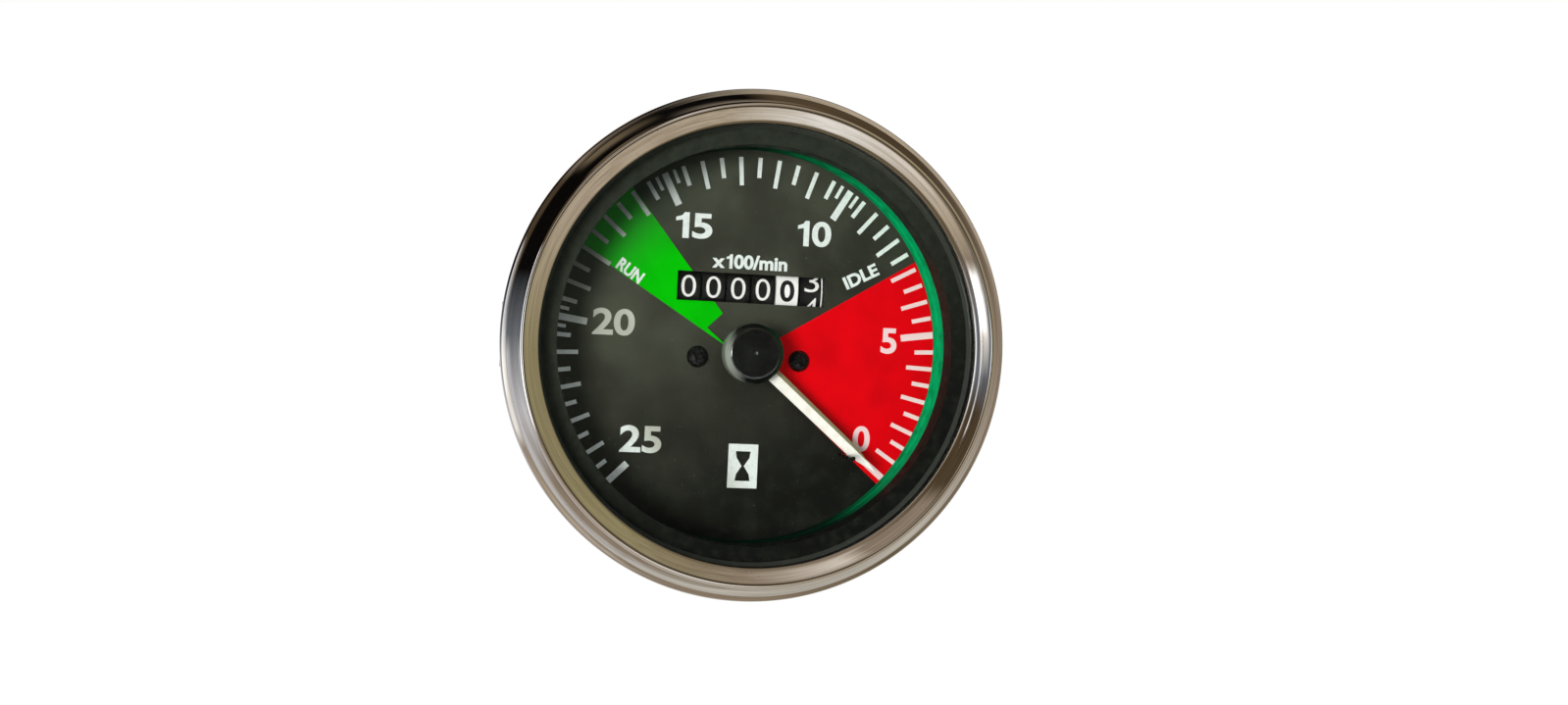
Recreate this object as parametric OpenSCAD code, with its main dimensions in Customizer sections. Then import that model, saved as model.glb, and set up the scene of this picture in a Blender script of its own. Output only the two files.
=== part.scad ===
// Panel tachometer for a tractor, with a magnetic pointer drive and a worm-driven hour counter.
// The instrument's axis runs along Y: the dial faces -Y and 12 o'clock is +Z.
// The origin lies on the case's axis, in the plane where the seal meets the panel.
// Modules are drawn looking at the dial: x to the right, y up, z towards the viewer.

/* [Bezel and glass] */
// Outer diameter of the bezel's rear bead
bezel_d = 110; // [106:0.5:120]
// Width of the bezel's face, from its rim in to the opening over the glass
rim_w = 7.7; // [7.2:0.1:8.2]
// Thickness of the bezel's sheet
bezel_t = 0.6; // [0.5:0.05:0.7]
// Radius of the rear bead
bead_r = 1.2; // [1:0.05:1.4]
// Distance from the rim in to the crest line
crest_inset = 4; // [3.7:0.1:4.4]
// Radius that rounds the crest
crest_round = 0.9; // [0.8:0.05:1]
// Height of the crest in front of the lip
crest_rise = 1.8; // [1.4:0.1:2.6]
// Width of the lip that holds the glass
lip_w = 0.8; // [0.6:0.1:1.2]
// Thickness of the glass
glass_t = 2; // [1.8:0.1:3]
// Distance from the bezel's rim in to the edge of the glass
glass_inset = 3.8; // [3.4:0.1:4.4]
// Thickness of the rubber gasket behind the glass
gasket_t = 1; // [0.8:0.1:1.5]
// Thickness of the rubber seal in front of the panel
seal_t = 1.5; // [1:0.1:3]

/* [Case] */
// How far the bezel stands out beyond the drawn case
case_inset = 6; // [5.6:0.1:7]
// Thickness of the case's sheet
case_t = 0.8; // [0.7:0.1:1]
// Bend radius of the case's rear corner
corner_r = 4; // [2:0.5:8]
// Clearance between the movement's last wheel and its rear housing
rear_room = 1; // [0.6:0.1:4]

/* [Visor and light ring] */
// Sheet thickness of the visor ring
visor_t = 0.7; // [0.5:0.05:0.9]
// How far the visor's inner face lies behind its flange
visor_step = 1.2; // [0.8:0.1:2]
// Width of the dark ledge from the bezel's lip in to the well above the dial
ledge_w = 3.9; // [3.5:0.1:4.6]
// Wall thickness of the green light ring
ring_wall = 2.5; // [2.1:0.1:3]
// Distance from the glass to the dial's face
well_depth = 16.5; // [15.5:0.5:22]

/* [Dial] */
// Thickness of the dial plate
dial_t = 1; // [0.8:0.1:1.5]
// Thickness of the printed ink
print_t = 0.06; // [0.04:0.01:0.1]
// How far the pointer's axis lies below the case's axis
axis_drop = 1.7; // [1.4:0.1:2]
// How far the marks' circle reaches past the well's wall, which cuts the marks off there
mark_over = 0.1; // [-0.6:0.1:0.6]
// Length of a mark at a half value
half_len = 4.5; // [3:0.1:5]
// Length of a mark at a whole value
whole_len = 6.3; // [5:0.1:7]
// Length of a mark at a numbered value
main_len = 7.6; // [7:0.1:8]
// Width of a plain mark
mark_w = 0.95; // [0.7:0.05:1.2]
// Width of a numbered mark
main_w = 1.5; // [1.2:0.05:2]
// Distance between the two dial screws
screw_span = 23; // [21:0.5:24]
// Diameter of a dial screw's head
screw_head_d = 4.9; // [4:0.1:5.4]

/* [Pointer] */
// Distance from the pointer's tip to the marks' outer ends
tip_inset = 4.8; // [3.5:0.1:7.5]
// Width of the pointer beside its cap
pointer_w = 3.1; // [2.4:0.1:3.4]
// Width of the pointer before its tip
pointer_end_w = 2.65; // [2:0.05:3]
// Height of the pointer's underside above the dial
pointer_lift = 5.6; // [5:0.1:6.4]
// Thickness of the pointer at its ridge
pointer_t = 1.2; // [0.8:0.1:1.4]
// Lower diameter of the pointer's cap
cap_d = 13.2; // [12:0.2:15]
// Upper diameter of the pointer's cap
cap_top_d = 11; // [9:0.2:11.8]
// Height of the pointer's cap
cap_h = 5.4; // [4.6:0.1:6]
// Diameter of the pointer's spindle
spindle_d = 1.2; // [1:0.1:1.6]
// Diameter of the stop pin
stop_d = 1; // [0.8:0.1:1.4]
// Height of the stop pin above the dial
stop_h = 12.5; // [9:0.5:14]

/* [Counter] */
// Width of the counter's window
window_w = 33.4; // [32.6:0.1:34]
// Height of the counter's window
window_h = 6.5; // [5.5:0.1:7]
// Diameter of a number drum
drum_d = 19.6; // [19.2:0.2:20.4]
// Width of a number drum
drum_w = 5; // [4.8:0.05:5.1]
// Distance between the centres of two drums
drum_pitch = 5.6; // [5.55:0.05:5.7]
// Diameter of the drums' axle
axle_d = 2.4; // [2:0.1:2.6]
// Thickness of a pinion's carrier plate
carrier_t = 0.3; // [0.2:0.05:0.35]

/* [Drive] */
// Outer diameter of the threaded drive nipple
nipple_d = 18; // [16:0.5:20]
// Length of the nipple behind the case
nipple_len = 15; // [12:0.5:25]
// Diameter of the bore that takes the cable's end
cable_bore_d = 10.4; // [9:0.2:11]
// Depth of the bore that takes the cable's end
cable_bore_len = 8; // [6:0.5:10]
// Diameter of the drive shaft
shaft_d = 3.2; // [2.6:0.1:3.8]
// Diameter of the drag cup
cup_d = 26; // [22:0.5:28]
// Depth of the drag cup
cup_h = 7.5; // [6:0.5:10]
// Air gap on each side of the drag cup's wall
air_gap = 0.8; // [0.5:0.05:1]
// Diameter of the two thin gear shafts
gear_shaft_d = 2; // [1.6:0.1:2.2]
// Radial clearance of a running fit
run_gap = 0.05; // [0.03:0.01:0.08]

/* [Mounting] */
// Distance from the case's side in to a mounting stud's axis
stud_inset = 9.5; // [9:0.1:10.5]
// Diameter of a mounting stud
stud_d = 5; // [4:0.5:6]
// Length of a mounting stud behind the case
stud_len = 20; // [14:1:30]
// Thickness of the panel that the instrument clamps to
panel_t = 2.5; // [1:0.5:4]
// Thickness of the clamp's strap
strap_t = 1.8; // [1.2:0.1:2.5]
// Gap between the case and the clamp's legs
strap_gap = 1.5; // [1:0.1:2]

/* [Hidden] */
$fn = 96;

// Radii of the large rings
flange_gap = 0.6;
visor_edge_gap = 0.2;
gasket_step = 0.3;
visor_lip = 0.1;
visor_slope = 0.6;
seal_inset = 0.9;
seal_gap = 0.6;
bezel_r = bezel_d / 2;
bead_at = bezel_r - bead_r;
crest_r = bezel_r - crest_inset;
lip_r = bezel_r - rim_w;
glass_r = bezel_r - glass_inset;
case_r = bezel_r - case_inset;
flange_r = bead_at - flange_gap;
well_r = lip_r - ledge_w;

// Levels of the stack that the bezel clamps, from the seal's front face to the crest
seal_top = seal_t;
flange_bottom = seal_top + bezel_t;
flange_top = flange_bottom + case_t;
visor_top = flange_top + visor_t;
glass_bottom = visor_top + gasket_t;
glass_top = glass_bottom + glass_t;
lip_top = glass_top + bezel_t;
crest_top = lip_top + crest_rise;

// The bead's neck, the tilt of the bezel's inner slope and the drop of its lip
bead_end = 54;
neck_step = 0.1;
neck_rise = 0.4;
outer_tilt = 15;
inner_tilt = 32;
lip_drop = 0.12;

// Visor, light ring and dial levels
visor_face = visor_top - visor_step;
ring_top = visor_face - visor_t;
dial_face = glass_bottom - well_depth;
dial_back = dial_face - dial_t;
axis_y = -axis_drop;
ring_foot = 1;
dial_edge_gap = 0.3;
dial_r = well_r + ring_foot;
ring_r = well_r + ring_wall;
ring_skirt = 1.2;
ring_groove = 0.2;
groove_level = 0.56;
print_gap = 0.05;
print_r = well_r - print_gap;
mark_r = well_r + mark_over;

// Scale: value, and its angle clockwise from 12 o'clock
SCALE = [[0, 129.5], [1, 123.5], [5, 82.1], [10, 30.9], [15, -27.4], [20, -81.6], [25, -135]];
scale_top = 25;
numbered_step = 5;
fine_len = 3.2;
fine_values = [9.75, 10.25, 14.75, 15.25, 19.75, 20.25];
limit_value = 18;

// Coloured sectors: apex on the dial and the angles of their edges
red_apex = [0, -2.6];
red_from = 58.7;
red_to = 131;
green_apex = [4.8, -6.2];
green_from = -58.1;
green_to = -38.6;
green_notch = [[-3.7, -0.9], [-9, 3.5], [-5.6, 6.8]];
sector_reach = 70;

// Hour sign below the pointer's axis
sign_w = 6.7;
sign_h = 9.8;
sign_x = 0.5;
sign_y = -26.9;
glass_bell_w = 3.4;
glass_bell_h = 6.6;
glass_neck_w = 0.5;

// Dial screws and their posts
screw_x = 0.7;
screw_drop = 1.3;
screw_h = 1.7;
screw_shank_d = 2.5;
screw_shank_len = 4;
recess_w = 0.7;
recess_len = 3;
recess_depth = 0.9;
post_w = 4.6;
post_len = 4.6;
post_stud_d = 3;
post_stud_len = 3.5;
bridge_t = 1.2;
pillar_d = 5;
hole_gap = 0.1;
bridge_front = dial_back - post_len;
bridge_back = bridge_front - bridge_t;

// Pointer at rest against its stop
rest_angle = 130.8;
pointer_taper_from = 7;
pointer_len = mark_r - tip_inset;
tip_len = 6.7;
ridge_share = 0.32;
pointer_side_t = 0.35;
pointer_tail = 4.6;
tail_w = 5;
stop_inset = 7.2;
stop_radius = pointer_len - stop_inset;
stop_gap = 0.05;
stop_foot_d = 2.2;
stop_foot_h = 0.7;
cap_round = 0.6;
cap_dimple_d = 1;
cap_dimple_h = 0.35;
boss_d = 4;
boss_lift = 1;
dial_hole_d = 6;
pointer_bottom = dial_face + pointer_lift;
cap_bottom = pointer_bottom + pointer_side_t;
cap_top = cap_bottom + cap_h;
spindle_top = cap_bottom + cap_h / 2;

// Hairspring behind the dial
collet_d = 3.2;
collet_h = 1.2;
collet_gap = 0.4;
spring_turns = 4;
spring_t = 0.15;
spring_h = 1;
spring_r = 5;
spring_seat = 0.08;
stud_pin_d = 1.2;
bush_flange_h = 0.5;
bush_d = 4;
collet_bottom = bridge_front + bush_flange_h + collet_gap;

// Counter: drums, their gears and their carriers
drum_gap = 0.9;
drum_x = 0.8;
drum_count = 6;
window_x = 0.63;
window_y = 12.57;
drum_y = window_y;
drum_r = drum_d / 2;
drum_z = dial_back - drum_gap - drum_r;
rim_t = 0.9;
hub_r = 2.1;
web_t = 1;
ring_teeth = 20;
pinion_teeth = 6;
counter_module = 0.8;
counter_backlash = 0.3;
pinion_tip = 0.7;
pinion_root = 0.9;
pinion_half = 1.5;
pinion_side_gap = 0.1;
carry_angle = 45;
rod_rise = 12.3;
carrier_r = 8.6;
carrier_arm_w = 4.4;
pinion_y = drum_y + counter_module * (ring_teeth - pinion_teeth) / 2;
rod_y = drum_y + rod_rise;

// Movement plate with the counter's two cheeks
plate_gap = 1.6;
plate_t = 2.5;
plate_r = 36;
plate_front = drum_z - drum_r - plate_gap;
plate_back = plate_front - plate_t;
cheek_t = 2;
cheek_gap = 0.5;
cheek_top_margin = 3;
leg_d = 7;
leg_spots = [[-22, 22], [22, 22], [0, -31]];
lamp_inset = 13.4;
lamp_turn = 140;
lamp_notch_d = 15;
lamp_spots = [for (side = [-1, 1]) (case_r - lamp_inset) * [side * sin(lamp_turn), cos(lamp_turn)]];
stud_x = case_r - stud_inset;

// Worm gearing: modules, tooth numbers and worm radii
worm_gap = 0.12;
flank_angle = 20;
root_share = 0.9;
addendum = 0.9;
dedendum = 1.15;
wheel_w = 2.4;
first_module = 0.28;
first_teeth = 40;
second_module = 0.4;
second_teeth = 50;
third_module = 0.4;
third_teeth = 45;
second_worm_r = 1.9;
third_worm_r = 2;
first_wheel_r = first_module * first_teeth / 2;
second_wheel_r = second_module * second_teeth / 2;
third_wheel_r = third_module * third_teeth / 2;
first_worm_len = 5;
second_worm_len = 7;
third_worm_len = 7;
worm_slices = 10;
worm_points = 20;

// Drum gear, lay shaft and cross shaft follow from one another
drum_right = drum_x + drum_pitch * (drum_count - 1) / 2 + drum_w / 2;
gear_x = drum_right + third_worm_r + third_module + 0.5;
lay_x = gear_x;
lay_y = drum_y - third_wheel_r - third_worm_r;
cross_y = lay_y - second_wheel_r - second_worm_r;
first_worm_r = axis_y - cross_y - first_wheel_r;
gear_half = wheel_w / 2;
cheek_right = gear_x + gear_half + cheek_gap;
cheek_left = drum_x - drum_pitch * (drum_count - 1) / 2 - drum_w / 2 - cheek_gap;

// Drag cup, magnet and the levels behind them
cup_front_gap = 1;
cup_t = 0.6;
magnet_h = 5;
flux_t = 1.6;
cup_front = plate_back - cup_front_gap;
cup_back = cup_front - cup_h;
magnet_front = cup_front - cup_t - air_gap;
wheel_clear = 1;
cross_z = cup_back - wheel_clear - first_wheel_r - first_module;
housing_t = 3;
housing_front = cross_z - first_wheel_r - first_module - rear_room;
case_floor = housing_front - housing_t;
case_back = case_floor - case_t;

// Drive housing
housing_r = 20;
ear_t = 2;
ear_half_h = 2.5;
ear_left = -5.5;
ear_right = gear_x + second_worm_len / 2 + 2.2;
lay_boss_d = 6.4;
lay_boss_gap = 1.3;
bush_len = 6;
bush_outer_d = 8;
head_d = 6.8;
head_gap = 0.2;
socket_w = 2.8;
socket_len = 4;
relief_len = 2.5;
relief_depth = 1;
nipple_back = case_back - nipple_len;
bore_floor = nipple_back + cable_bore_len;

// Fasteners and lamps at the rear
screw_circle_r = 16.5;
case_screw_d = 3;
case_screw_head_d = 5.6;
case_screw_head_h = 1.8;
case_screw_len = 6;
short_screw_len = 3;
holder_d = 11.8;
holder_flange_d = 15;
holder_wall = 1.2;
holder_inside = 9;
holder_flange_t = 1;
holder_cap_d = 9.6;
holder_cap_h = 4;
contact_d = 3.6;
contact_h = 1.6;
bulb_base_d = 9;
bulb_d = 8.6;
bulb_len = 9;

// Mounting clamp
stud_head_d = 8;
stud_head_t = 1.5;
strap_lift = 3;
strap_rear_gap = 0.2;
strap_foot = 4;
strap_w = 16;
strap_hub_d = 40;
strap_bend = 3;
strap_hole_gap = 0.3;
nipple_gap = 5;
washer_t = 1.2;
washer_d = 9;
washer_split = 0.8;
nut_h = 4;
nut_w = 8;
strap_front = case_back - strap_lift;
strap_back = strap_front - strap_t;
leg_inner = case_r + strap_gap;
leg_rear = case_r + strap_rear_gap + strap_t;

// Colours
chrome = "#c9c9c6";
steel = "#9a9ea2";
brass = "#b89a4a";
black = "#1c1c1c";
ink_white = "#ebf5f0";

// Turns the drawing frame into the instrument's own frame
module placed() {
    rotate([90, 0, 0]) children();
}

// Turns a shape drawn upright along z so that it lies along x
module lying() {
    rotate([0, 90, 0]) children();
}

function left_normal(a, b) = [a[1] - b[1], b[0] - a[0]] / norm(b - a);

// Points at a distance t to the left of a path
function beside(path, t) = [
    for (i = [0 : len(path) - 1])
        let (
            before = left_normal(path[max(i - 1, 0)], path[max(i, 1)]),
            after = left_normal(path[min(i, len(path) - 2)], path[min(i + 1, len(path) - 1)]),
            sum = before + after
        )
        path[i] + sum * 2 * t / (sum * sum)
];

function reversed(path) = [for (i = [len(path) - 1 : -1 : 0]) path[i]];

function sheet_outline(path, t) = concat(path, reversed(beside(path, t)));

function arc(centre, r, from, to, steps = 8) = [
    for (i = [0 : steps]) centre + toward(90 - from - (to - from) * i / steps, r)
];

function scale_angle(value) = lookup(value, SCALE);

function toward(angle, r) = [r * sin(angle), r * cos(angle)];

// Outline of an external gear with straight-sided teeth, one tooth pointing along +x
function gear_outline(teeth, module_mm, gap, tip, root) = [
    for (i = [0 : teeth - 1])
        let (
            pitch_r = teeth * module_mm / 2,
            half = (PI * module_mm / 2 - gap) / 2,
            tip_half = (half - tip * tan(flank_angle)) / (pitch_r + tip) * 180 / PI,
            full_root_half = (half + root * tan(flank_angle)) / (pitch_r - root) * 180 / PI,
            root_half = min(full_root_half, root_share * 180 / teeth),
            a = 360 * i / teeth
        )
        each [
            (pitch_r - root) * [cos(a - root_half), sin(a - root_half)],
            (pitch_r + tip) * [cos(a - tip_half), sin(a - tip_half)],
            (pitch_r + tip) * [cos(a + tip_half), sin(a + tip_half)],
            (pitch_r - root) * [cos(a + root_half), sin(a + root_half)]
        ]
];

// Radius of a worm's cross-section, a given angle away from its thread
function worm_radius(angle, r, module_mm) =
    let (
        along = abs(angle) / 360 * PI * module_mm,
        half = (PI * module_mm / 2 - worm_gap) / 2,
        tip_half = half - addendum * module_mm * tan(flank_angle),
        root_half = half + dedendum * module_mm * tan(flank_angle),
        share = min(max((along - tip_half) / (root_half - tip_half), 0), 1)
    )
    r + addendum * module_mm - share * (addendum + dedendum) * module_mm;

// Worm along z, centred on the origin, whose thread faces the given angle at z = 0
module worm(r, module_mm, length, facing, bore, hand = 1) {
    turns = length / (PI * module_mm);
    difference() {
        translate([0, 0, -length / 2])
            rotate([0, 0, facing - hand * 180 * turns])
                linear_extrude(
                    height = length, twist = -hand * 360 * turns,
                    slices = ceil(turns * worm_slices), segments = worm_points
                )
                    polygon([
                        for (i = [0 : worm_points - 1])
                            let (a = 360 * i / worm_points - 180)
                            worm_radius(a, r, module_mm) * [cos(a), sin(a)]
                    ]);
        cylinder(r = bore, h = length * 2, center = true);
    }
}

// Worm wheel along z with a gap between two teeth at the given angle
module worm_wheel(teeth, module_mm, width, gap_at, bore) {
    difference() {
        linear_extrude(height = width, center = true)
            rotate(gap_at + 180 / teeth)
                polygon(gear_outline(teeth, module_mm, worm_gap, addendum * module_mm, dedendum * module_mm));
        cylinder(r = bore, h = width * 2, center = true);
    }
}

module ring(outer_r, inner_r, bottom, top) {
    translate([0, 0, bottom])
        difference() {
            cylinder(r = outer_r, h = top - bottom);
            translate([0, 0, bottom - top])
                cylinder(r = inner_r, h = 3 * (top - bottom));
        }
}

module rod(r, bottom, top) {
    translate([0, 0, bottom])
        cylinder(r = r, h = top - bottom);
}

// Rolled ring: rear bead, steep outer slope, rounded crest, inner slope and flat lip
module bezel() {
    crest_centre = [crest_r, crest_top - crest_round];
    outline = concat(
        [[case_r + case_t * 1.5, seal_top]],
        arc([bead_at, seal_top + bead_r], bead_r, -90, bead_end),
        [[bead_at - neck_step, seal_top + 2 * bead_r + neck_rise]],
        arc(crest_centre, crest_round, outer_tilt, 90 + inner_tilt),
        [[lip_r + lip_w, lip_top + lip_drop], [lip_r, lip_top]]
    );
    color(chrome)
        placed()
            rotate_extrude($fn = 180)
                polygon(sheet_outline(outline, bezel_t));
}

module glass() {
    edge = 0.25;
    color("#dfeeee", 0.35)
        placed()
            rotate_extrude($fn = 180)
                polygon([
                    [0, glass_bottom], [glass_r - edge, glass_bottom], [glass_r, glass_bottom + edge],
                    [glass_r, glass_top - edge], [glass_r - edge, glass_top], [0, glass_top]
                ]);
}

module glass_gasket() {
    color(black)
        placed()
            ring(glass_r, lip_r + gasket_step, visor_top, glass_bottom);
}

// Pressed ring between the case's flange and the gasket, dished down onto the light ring
module visor_ring() {
    outline = [
        [flange_r - visor_edge_gap, visor_top],
        [lip_r - visor_lip, visor_top],
        [lip_r - visor_lip - visor_slope, visor_face],
        [well_r, visor_face]
    ];
    color("#26272a")
        placed()
            rotate_extrude($fn = 180)
                polygon(sheet_outline(outline, visor_t));
}

// Translucent tube around the dial, with a fine groove and a skirt that takes in the lamps' light
module light_ring() {
    groove = dial_face + (ring_top - dial_face) * groove_level;
    color("#00a050", 0.7)
        placed()
            rotate_extrude($fn = 180)
                polygon([
                    [well_r, dial_face], [well_r, groove - ring_groove], [well_r + ring_groove, groove],
                    [well_r, groove + ring_groove], [well_r, ring_top], [ring_r, ring_top],
                    [ring_r, dial_back - ring_skirt], [dial_r + dial_edge_gap, dial_back - ring_skirt],
                    [dial_r + dial_edge_gap, dial_face]
                ]);
}

// Drawn steel cup with a rolled-out front flange
module case() {
    bend = 1;
    outline = concat(
        [[flange_r, flange_bottom]],
        arc([case_r + bend, flange_bottom - bend], bend, 90, 180),
        arc([case_r - corner_r, case_back + corner_r], corner_r, 0, -90),
        [[0, case_back]]
    );
    color("#3c3f43")
        placed()
            difference() {
                rotate_extrude($fn = 180)
                    polygon(sheet_outline(outline, -case_t));
                translate([0, axis_y, 0])
                    rod(nipple_d / 2 + hole_gap, case_back - 1, case_floor + 1);
                for (spot = lamp_spots)
                    translate(spot)
                        rod(holder_d / 2 + hole_gap, case_back - 1, case_floor + 1);
                for (side = [-1, 1])
                    translate([side * stud_x, 0])
                        rod(stud_d / 2 + hole_gap, case_back - 1, case_floor + 1);
                for (spot = concat(leg_spots, housing_screw_spots()))
                    translate(spot)
                        rod(case_screw_d / 2 + hole_gap, case_back - 1, case_floor + 1);
            }
}

module panel_seal() {
    color(black)
        placed()
            ring(bezel_r - seal_inset, case_r + seal_gap, 0, seal_top);
}

module mark(value, length, width) {
    rotate(-scale_angle(value))
        translate([-width / 2, mark_r - length])
            square([width, length]);
}

// White marks: halves, wholes, numbered values, fine marks beside them and one long limit mark
module scale_marks() {
    for (value = [1.5 : scale_top - 0.5])
        mark(value, half_len, mark_w);
    for (value = [1 : scale_top - 1])
        if (value % numbered_step != 0)
            mark(value, value == limit_value ? main_len : whole_len, mark_w);
    for (value = [0 : numbered_step : scale_top])
        mark(value, main_len, main_w);
    for (value = fine_values)
        mark(value, fine_len, mark_w * 0.8);
}

module red_sector() {
    polygon([
        red_apex,
        red_apex + toward(red_from, sector_reach),
        red_apex + toward((red_from + red_to) / 2, sector_reach * 1.3),
        red_apex + toward(red_to, sector_reach)
    ]);
}

module green_sector() {
    polygon(concat(
        [green_apex + toward(green_to, sector_reach), green_apex + toward(green_from, sector_reach)],
        green_notch
    ));
}

// Hourglass cut out of a white field
module hour_sign() {
    w = glass_bell_w / 2;
    h = glass_bell_h / 2;
    n = glass_neck_w / 2;
    translate([sign_x, sign_y])
        difference() {
            square([sign_w, sign_h], center = true);
            polygon([[-w, h], [w, h], [w * 0.85, h * 0.55], [n, 0], [w * 0.85, -h * 0.55],
                [w, -h], [-w, -h], [-w * 0.85, -h * 0.55], [-n, 0], [-w * 0.85, h * 0.55]]);
        }
}

module print(tint, height) {
    color(tint)
        translate([0, 0, dial_face])
            linear_extrude(height = height)
                difference() {
                    intersection() {
                        circle(r = print_r);
                        children();
                    }
                    dial_openings();
                }
}

function dial_screw_spots() = [
    for (side = [-1, 1]) [screw_x + side * screw_span / 2, axis_y - screw_drop]
];

function stop_angle() =
    rest_angle + asin((pointer_end_w / 2 + stop_d / 2 + stop_gap) / stop_radius);

function stop_spot() = [0, axis_y] + toward(stop_angle(), stop_radius);

module dial_openings() {
    translate([window_x, window_y])
        square([window_w, window_h], center = true);
    translate([0, axis_y])
        circle(d = dial_hole_d);
    for (spot = dial_screw_spots())
        translate(spot)
            circle(d = screw_shank_d + 2 * hole_gap);
    translate(stop_spot())
        circle(d = stop_d);
}

module dial_plate() {
    placed() {
        color("#282824")
            translate([0, 0, dial_back])
                linear_extrude(height = dial_t)
                    difference() {
                        circle(r = dial_r, $fn = 180);
                        dial_openings();
                    }
        print("#de0010", print_t / 2) red_sector();
        print("#00c800", print_t / 2) green_sector();
        print(ink_white, print_t) translate([0, axis_y]) scale_marks();
        print(ink_white, print_t) hour_sign();
    }
}

// Domed cross-head screw, seated at z = 0
module pan_screw(head_r, head_h, shank_r, shank_len) {
    bow = (head_r * head_r + head_h * head_h) / (2 * head_h);
    difference() {
        union() {
            intersection() {
                translate([0, 0, head_h - bow])
                    sphere(r = bow);
                cylinder(r = head_r, h = head_h + 1);
            }
            translate([0, 0, -shank_len])
                cylinder(r = shank_r, h = shank_len + head_h / 4);
        }
        for (turn = [0, 90])
            rotate([0, 0, turn])
                translate([-recess_len / 2 * head_r / 2.45, -recess_w / 2, head_h - recess_depth])
                    cube([recess_len * head_r / 2.45, recess_w, recess_depth + 1]);
    }
}

module dial_screws() {
    color("#151515")
        placed()
            for (spot = dial_screw_spots())
                translate([spot[0], spot[1], dial_face + print_t / 2])
                    rotate([0, 0, spot[0] > 0 ? 20 : -35])
                        pan_screw(screw_head_d / 2, screw_h, screw_shank_d / 2, screw_shank_len);
}

// Hexagonal posts that clamp the spindle bridge and carry the dial
module dial_posts() {
    color(brass)
        placed()
            for (spot = dial_screw_spots())
                translate(spot)
                    difference() {
                        union() {
                            translate([0, 0, bridge_front])
                                cylinder(d = post_w / cos(30), h = post_len, $fn = 6);
                            rod(post_stud_d / 2, bridge_back - post_stud_len + bridge_t, bridge_front + 0.1);
                        }
                        rod(screw_shank_d / 2, dial_back - screw_shank_len, dial_back + 1);
                    }
}

// Pin that the pointer rests against, riveted through the dial
module stop_pin() {
    color("#101010")
        placed()
            translate(stop_spot()) {
                rod(stop_d / 2, dial_back, dial_face + stop_h);
                rod(stop_foot_d / 2, dial_back - stop_foot_h, dial_back);
            }
}

// Pointer's plan, drawn along +y
module pointer_plan(extra = 0) {
    polygon([
        [-pointer_w / 2 - extra, 0],
        [-pointer_w / 2 - extra, pointer_taper_from],
        [-pointer_end_w / 2 - extra, pointer_len - tip_len],
        [0, pointer_len + extra],
        [pointer_end_w / 2 + extra, pointer_len - tip_len],
        [pointer_w / 2 + extra, pointer_taper_from],
        [pointer_w / 2 + extra, 0]
    ]);
}

// Cross-section with its ridge nearer to the upper edge
module pointer_section(extra = 0) {
    w = pointer_w / 2 + extra;
    ridge = pointer_w * (ridge_share - 0.5);
    polygon([
        [-w, -extra], [w, -extra], [w, pointer_side_t + extra],
        [ridge, pointer_t + extra], [-w, pointer_side_t + extra]
    ]);
}

module ridged_pointer(extra = 0) {
    intersection() {
        translate([0, 0, -1])
            linear_extrude(height = pointer_t + 2)
                pointer_plan(extra);
        rotate([90, 0, 180])
            translate([0, 0, -1])
                linear_extrude(height = pointer_len + 2)
                    mirror([1, 0])
                        pointer_section(extra);
    }
}

module at_pointer(level) {
    translate([0, axis_y, level])
        rotate([0, 0, -rest_angle])
            children();
}

module pointer_blade() {
    color("#e9e2cf")
        placed()
            at_pointer(pointer_bottom)
                difference() {
                    union() {
                        ridged_pointer();
                        translate([-tail_w / 2, -pointer_tail, 0])
                            cube([tail_w, pointer_tail + 2, pointer_side_t]);
                    }
                    translate([0, 0, -1])
                        cylinder(d = spindle_d, h = pointer_t + 2);
                }
}

// Tapered cap with a rounded edge, slotted for the pointer's ridge
module hub_cap() {
    r = cap_d / 2;
    top_r = cap_top_d / 2;
    color("#202122")
        placed()
            difference() {
                translate([0, axis_y, 0])
                    rotate_extrude()
                        polygon(concat(
                            [[0, cap_bottom], [r - 0.2, cap_bottom], [r, cap_bottom + 0.3]],
                            arc([top_r - cap_round, cap_top - cap_round], cap_round, 10, 90, 6),
                            arc([0, cap_top + cap_dimple_h * 0.4], cap_dimple_d / 2, -40, -90, 4)
                        ));
                at_pointer(pointer_bottom)
                    ridged_pointer(0.02);
                translate([0, axis_y, 0])
                    rod(spindle_d / 2, cap_bottom - 1, spindle_top);
            }
}

module pointer_boss() {
    color(brass)
        placed()
            translate([0, axis_y, 0])
                ring(boss_d / 2, spindle_d / 2, dial_face + boss_lift, pointer_bottom);
}

module pointer_spindle() {
    color(steel)
        placed()
            translate([0, axis_y, 0])
                rod(spindle_d / 2, cup_front - cup_t, spindle_top);
}

module spring_collet() {
    color(brass)
        placed()
            translate([0, axis_y, 0])
                ring(collet_d / 2, spindle_d / 2, collet_bottom, collet_bottom + collet_h);
}

// Shallow aluminium cup that the turning magnet drags along
module drag_cup() {
    color("#b9bdc1")
        placed()
            translate([0, axis_y, 0]) {
                ring(cup_d / 2, spindle_d / 2, cup_front - cup_t, cup_front);
                ring(cup_d / 2, cup_d / 2 - cup_t, cup_back, cup_front - cup_t);
                ring(boss_d / 2, spindle_d / 2, cup_front, cup_front + cup_front_gap * 0.6);
            }
}

// Flat spiral from the collet out to its stud
module hairspring() {
    start_r = collet_d / 2 + spring_seat + spring_t / 2;
    steps = spring_turns * 20;
    spiral = [
        for (i = [0 : steps])
            let (r = start_r + (spring_r - start_r) * i / steps, a = 360 * spring_turns * i / steps)
            r * [cos(a), sin(a)]
    ];
    color("#7c6f4a")
        placed()
            translate([0, axis_y, collet_bottom + (collet_h - spring_h) / 2])
                linear_extrude(height = spring_h)
                    polygon(concat(beside(spiral, spring_t / 2), reversed(beside(spiral, -spring_t / 2))));
}

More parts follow.
